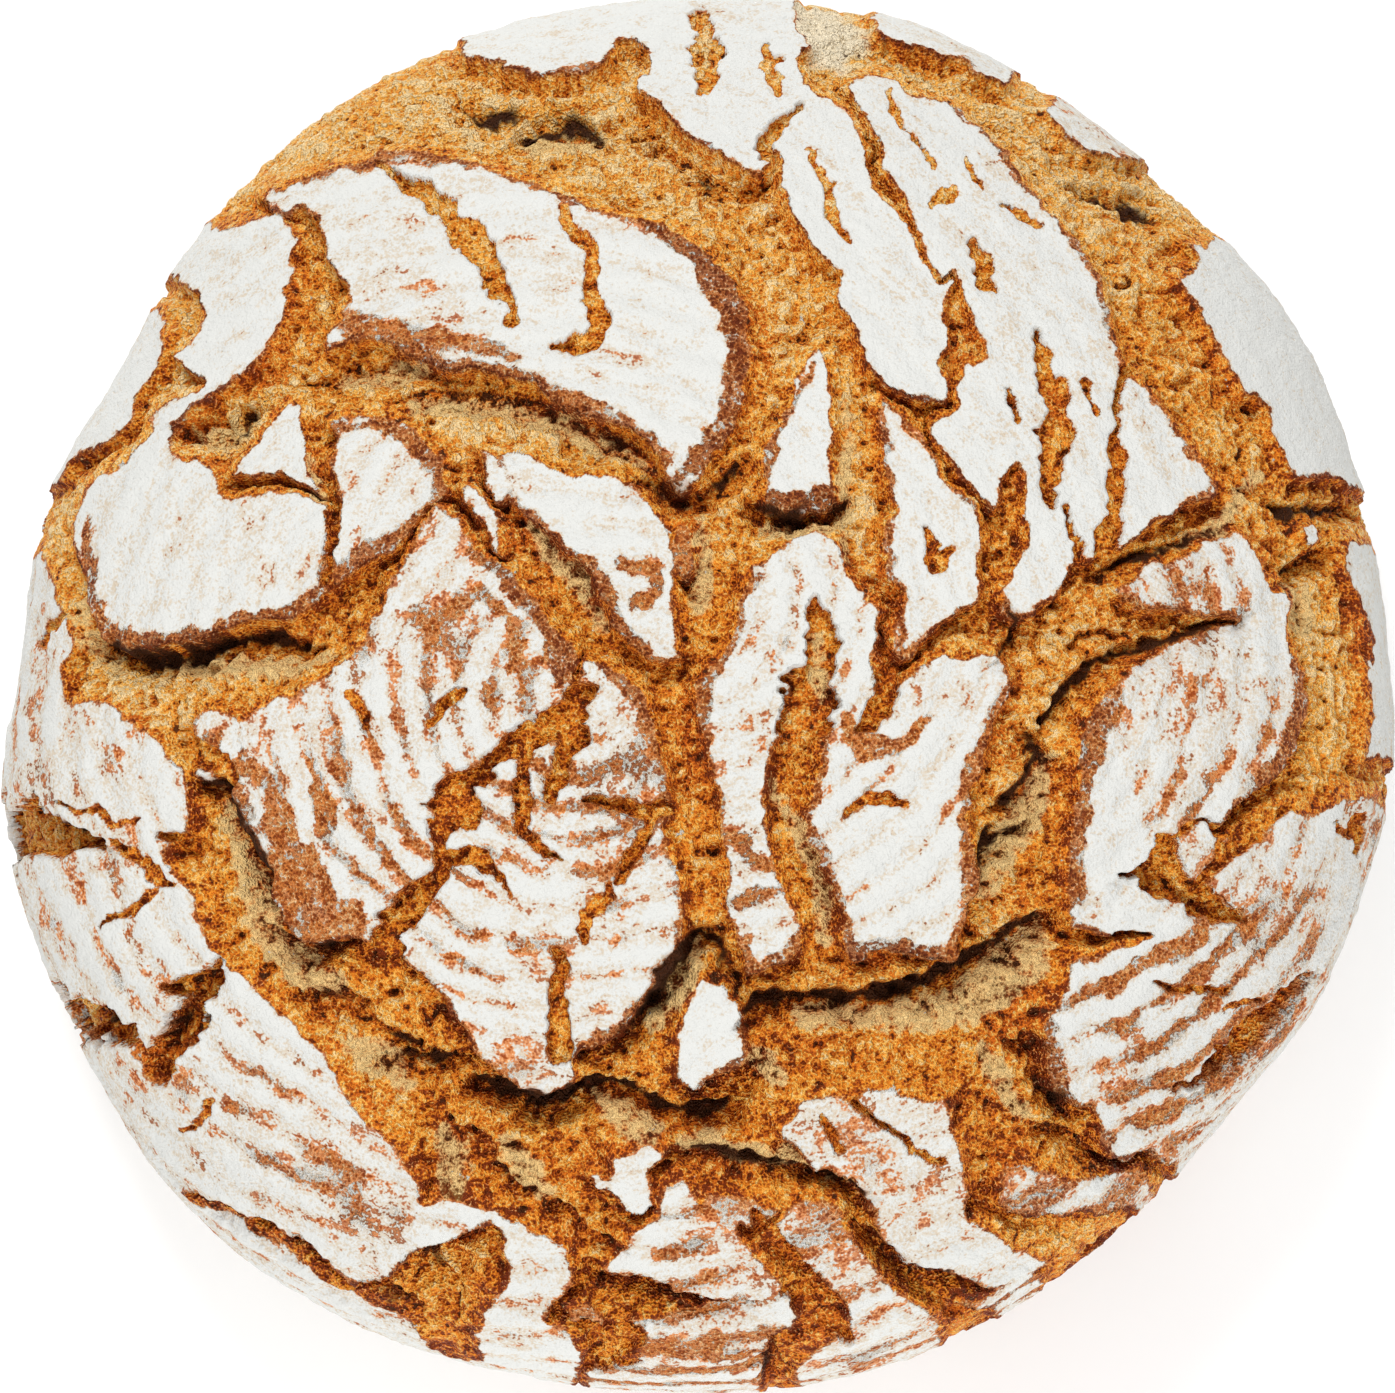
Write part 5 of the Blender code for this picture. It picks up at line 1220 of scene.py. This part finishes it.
def grid_mesh(name, places, normals, fields):
    """A mesh of quads over a grid of points, with stored normals and point fields."""
    rows, columns = places.shape[:2]
    number = np.arange(rows * columns).reshape(rows, columns)
    quads = np.stack((number[:-1, :-1], number[1:, :-1], number[1:, 1:], number[:-1, 1:]), axis=-1).reshape(-1, 4)
    mesh = bpy.data.meshes.new(name)
    mesh.vertices.add(rows * columns)
    mesh.vertices.foreach_set("co", places.reshape(-1).astype(np.float32))
    mesh.loops.add(quads.size)
    mesh.loops.foreach_set("vertex_index", quads.reshape(-1).astype(np.int32))
    mesh.polygons.add(len(quads))
    mesh.polygons.foreach_set("loop_start", np.arange(0, quads.size, 4, dtype=np.int32))
    mesh.update(calc_edges=True)
    mesh.shade_smooth()
    mesh.normals_split_custom_set_from_vertices(normals.reshape(-1, 3))
    for key, values in fields.items():
        kind, part = ("FLOAT", "value") if values.shape[-1] == 1 else ("FLOAT_VECTOR", "vector")
        stored = mesh.attributes.new(key, kind, "POINT")
        stored.data.foreach_set(part, values.reshape(-1).astype(np.float32))
    return mesh


def square_to_disc(side, total):
    """Unrolled points for a square grid: squares round the middle become rings of the disc.

    The ring's arc length grows a little faster outward, so that cells are finest on top.
    """
    line = np.linspace(-1.0, 1.0, side)
    across, along = np.meshgrid(line, line, indexing="ij")
    reach = np.maximum(np.abs(across), np.abs(along))
    wide = np.abs(across) >= np.abs(along)
    with np.errstate(divide="ignore", invalid="ignore"):
        turn = np.where(wide, along / across * (math.pi / 4.0),
                        math.pi / 2.0 - across / along * (math.pi / 4.0))
    turn = np.nan_to_num(turn)
    sign = np.where(np.where(wide, across, along) < 0.0, -1.0, 1.0)
    arc = total * (0.86 * reach + 0.14 * reach ** 3)
    return np.stack((sign * arc * np.cos(turn), sign * arc * np.sin(turn)), axis=-1)


def grid_normals(places):
    """Unit normals of a grid of points, from the cross product of its two directions."""
    normals = np.cross(np.gradient(places, axis=0), np.gradient(places, axis=1))
    return normals / np.maximum(np.linalg.norm(normals, axis=-1, keepdims=True), 1e-12)


def outward_normals(dome, flat):
    """Unit normals of the smooth dome at unrolled points."""
    step = 0.0005
    along_x = dome.surface(flat + (step, 0.0)) - dome.surface(flat - (step, 0.0))
    along_y = dome.surface(flat + (0.0, step)) - dome.surface(flat - (0.0, step))
    normals = np.cross(along_x, along_y)
    return normals / np.linalg.norm(normals, axis=1, keepdims=True)


class LOAF_OT_crust(bpy.types.Operator):
    """Build the crust as nine pieces that meet along shared seams.

    A point's place is the dome's surface at its unrolled point plus its relief along the dome's normal
    """

    bl_idname = "loaf.crust"
    bl_label = "Crust"

    def execute(self, context):
        middle = np.mean([list(corner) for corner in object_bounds()], axis=0)
        loaf = context.scene.loaf_settings
        dome = Dome(loaf, context.scene.stage_settings)
        side = SIDE_PIECES * loaf.cells + 1
        flat = square_to_disc(side, dome.total).reshape(-1, 2)
        fields = CrustFields(dome, loaf, flat, side)
        places = fields.places + outward_normals(dome, flat) * fields.height[:, None]
        rim = fields.arc > dome.total - 1e-6
        places[:, 2] = np.where(rim, 0.0, np.maximum(places[:, 2], CRUST_ROOM))
        shift = middle[:2] - (places[:, :2].max(axis=0) + places[:, :2].min(axis=0)) / 2.0
        context.scene["loaf_shift"] = list(map(float, shift))
        places[:, :2] += shift
        places = places.reshape(side, side, 3)
        normals = grid_normals(places)
        stored = {key: getattr(fields, key).reshape(side, side, -1) for key in SHADED}
        material = crust_material(loaf)
        spans = [slice(loaf.cells * part, loaf.cells * (part + 1) + 1) for part in range(SIDE_PIECES)]
        for row, rows in enumerate(spans):
            for column, columns in enumerate(spans):
                part = {key: values[rows, columns] for key, values in stored.items()}
                name = f"crust_{row}{column}"
                mesh = grid_mesh(name, places[rows, columns], normals[rows, columns], part)
                link_piece(name, mesh, material)
        return {"FINISHED"}


class LOAF_OT_sole(bpy.types.Operator):
    """Close the loaf with a flat sole.

    Rings go from the crust's lower edge in to the middle, each the edge shrunk by a fixed share
    """

    bl_idname = "loaf.sole"
    bl_label = "Sole"

    def execute(self, context):
        crust = [piece.data.vertices for piece in context.scene.objects if piece.name.startswith("crust_")]
        if not crust:
            raise RuntimeError("The sole needs the crust's lower edge: build the crust first")
        places = [np.empty(3 * len(points), dtype=np.float32) for points in crust]
        for points, values in zip(crust, places):
            points.foreach_get("co", values)
        places = np.concatenate(places).reshape(-1, 3)
        edge = np.unique(places[places[:, 2] == 0.0], axis=0)
        middle = edge.mean(axis=0)
        edge = edge[np.argsort(np.arctan2(edge[:, 1] - middle[1], edge[:, 0] - middle[0]))]
        rings = middle + (edge[None] - middle) * np.array(SOLE_SHARES)[:, None, None]
        count = len(edge)
        number = np.arange(len(SOLE_SHARES) * count).reshape(-1, count)
        outer, inner = number[:-1], number[1:]
        after = np.roll(number, -1, axis=1)
        near = np.stack((outer, inner, after[:-1]), axis=-1)
        far = np.stack((after[:-1], inner, after[1:]), axis=-1)
        fan = np.stack((number[-1], np.full(count, number.size), after[-1]), axis=-1)
        faces = np.concatenate((near.reshape(-1, 3), far.reshape(-1, 3), fan))
        mesh = bpy.data.meshes.new("sole")
        mesh.from_pydata(np.vstack((rings.reshape(-1, 3), middle)), [], faces)
        mesh.update()
        link_piece("sole", mesh, sole_material(context.scene.loaf_settings))
        return {"FINISHED"}


class LOAF_OT_stage(bpy.types.Operator):
    """Lay a pale floor, hang soft lights and aim the camera"""

    bl_idname = "loaf.stage"
    bl_label = "Stage"

    def execute(self, context):
        scene = context.scene
        stage = scene.stage_settings
        dome = Dome(scene.loaf_settings, stage)
        shift = Vector((*scene["loaf_shift"], 0.0))
        mesh = bpy.data.meshes.new("floor")
        corners = [(x * FLOOR_HALF, y * FLOOR_HALF, 0.0) for x, y in ((-1, -1), (1, -1), (1, 1), (-1, 1))]
        mesh.from_pydata(corners, [], [(0, 1, 2, 3)])
        floor = bpy.data.objects.new("floor", mesh)
        scene.collection.objects.link(floor)
        material, _, shader = surface_material("pale floor")
        shader.inputs["Base Color"].default_value = linear(stage.floor)
        shader.inputs["Roughness"].default_value = 0.9
        mesh.materials.append(material)
        floor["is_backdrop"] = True
        world = bpy.data.worlds.new("soft room")
        world.use_nodes = True
        background = world.node_tree.nodes["Background"]
        background.inputs["Color"].default_value = (1.0, 1.0, 1.0, 1.0)
        background.inputs["Strength"].default_value = stage.sky
        scene.world = world
        self.add_light("key", stage.key, 0.5, Vector((-0.28, 1.0, 1.2)))
        self.add_light("fill", stage.key * 0.9, 0.8, Vector((0.1, -1.2, 0.9)))
        back = Vector((0.0, -math.cos(stage.elevation), math.sin(stage.elevation)))
        camera = bpy.data.objects.new("camera", bpy.data.cameras.new("camera"))
        camera.data.sensor_width = SENSOR_WIDTH
        camera.data.lens = dome.focal / IMAGE_WIDTH * SENSOR_WIDTH
        camera.location = shift + Vector((0.0, 0.0, VIEW_TARGET_HEIGHT)) + back * stage.distance
        camera.rotation_mode = "QUATERNION"
        camera.rotation_quaternion = back.to_track_quat("Z", "Y")
        scene.collection.objects.link(camera)
        scene.camera = camera
        scene.view_settings.view_transform = "Standard"
        return {"FINISHED"}

    def add_light(self, name, power, size, place):
        """A square soft light that looks at the loaf."""
        data = bpy.data.lights.new(name, "AREA")
        data.energy = power
        data.size = size
        light = bpy.data.objects.new(name, data)
        light.location = place
        light.rotation_mode = "QUATERNION"
        light.rotation_quaternion = place.to_track_quat("Z", "Y")
        bpy.context.scene.collection.objects.link(light)


class LOAF_PT_panel(bpy.types.Panel):
    """Steps and settings of the loaf"""

    bl_idname = "LOAF_PT_panel"
    bl_label = "Farmhouse loaf"
    bl_space_type = "VIEW_3D"
    bl_region_type = "UI"
    bl_category = "Loaf"

    def draw(self, context):
        for settings in (context.scene.loaf_settings, context.scene.stage_settings):
            box = self.layout.box()
            for name in settings.bl_rna.properties.keys():
                if name not in ("rna_type", "name"):
                    box.prop(settings, name)
        self.layout.operator(LOAF_OT_crust.bl_idname)
        self.layout.operator(LOAF_OT_sole.bl_idname)
        self.layout.operator(LOAF_OT_stage.bl_idname)


CLASSES = (LoafSettings, StageSettings, LOAF_OT_crust, LOAF_OT_sole, LOAF_OT_stage, LOAF_PT_panel)


def register():
    for item in CLASSES:
        bpy.utils.register_class(item)
    bpy.types.Scene.loaf_settings = PointerProperty(type=LoafSettings)
    bpy.types.Scene.stage_settings = PointerProperty(type=StageSettings)


def unregister():
    del bpy.types.Scene.stage_settings
    del bpy.types.Scene.loaf_settings
    for item in reversed(CLASSES):
        bpy.utils.unregister_class(item)


def main():
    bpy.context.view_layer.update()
    register()
    bpy.ops.loaf.crust()
    bpy.ops.loaf.sole()
    bpy.ops.loaf.stage()


if __name__ == "__main__":
    main()
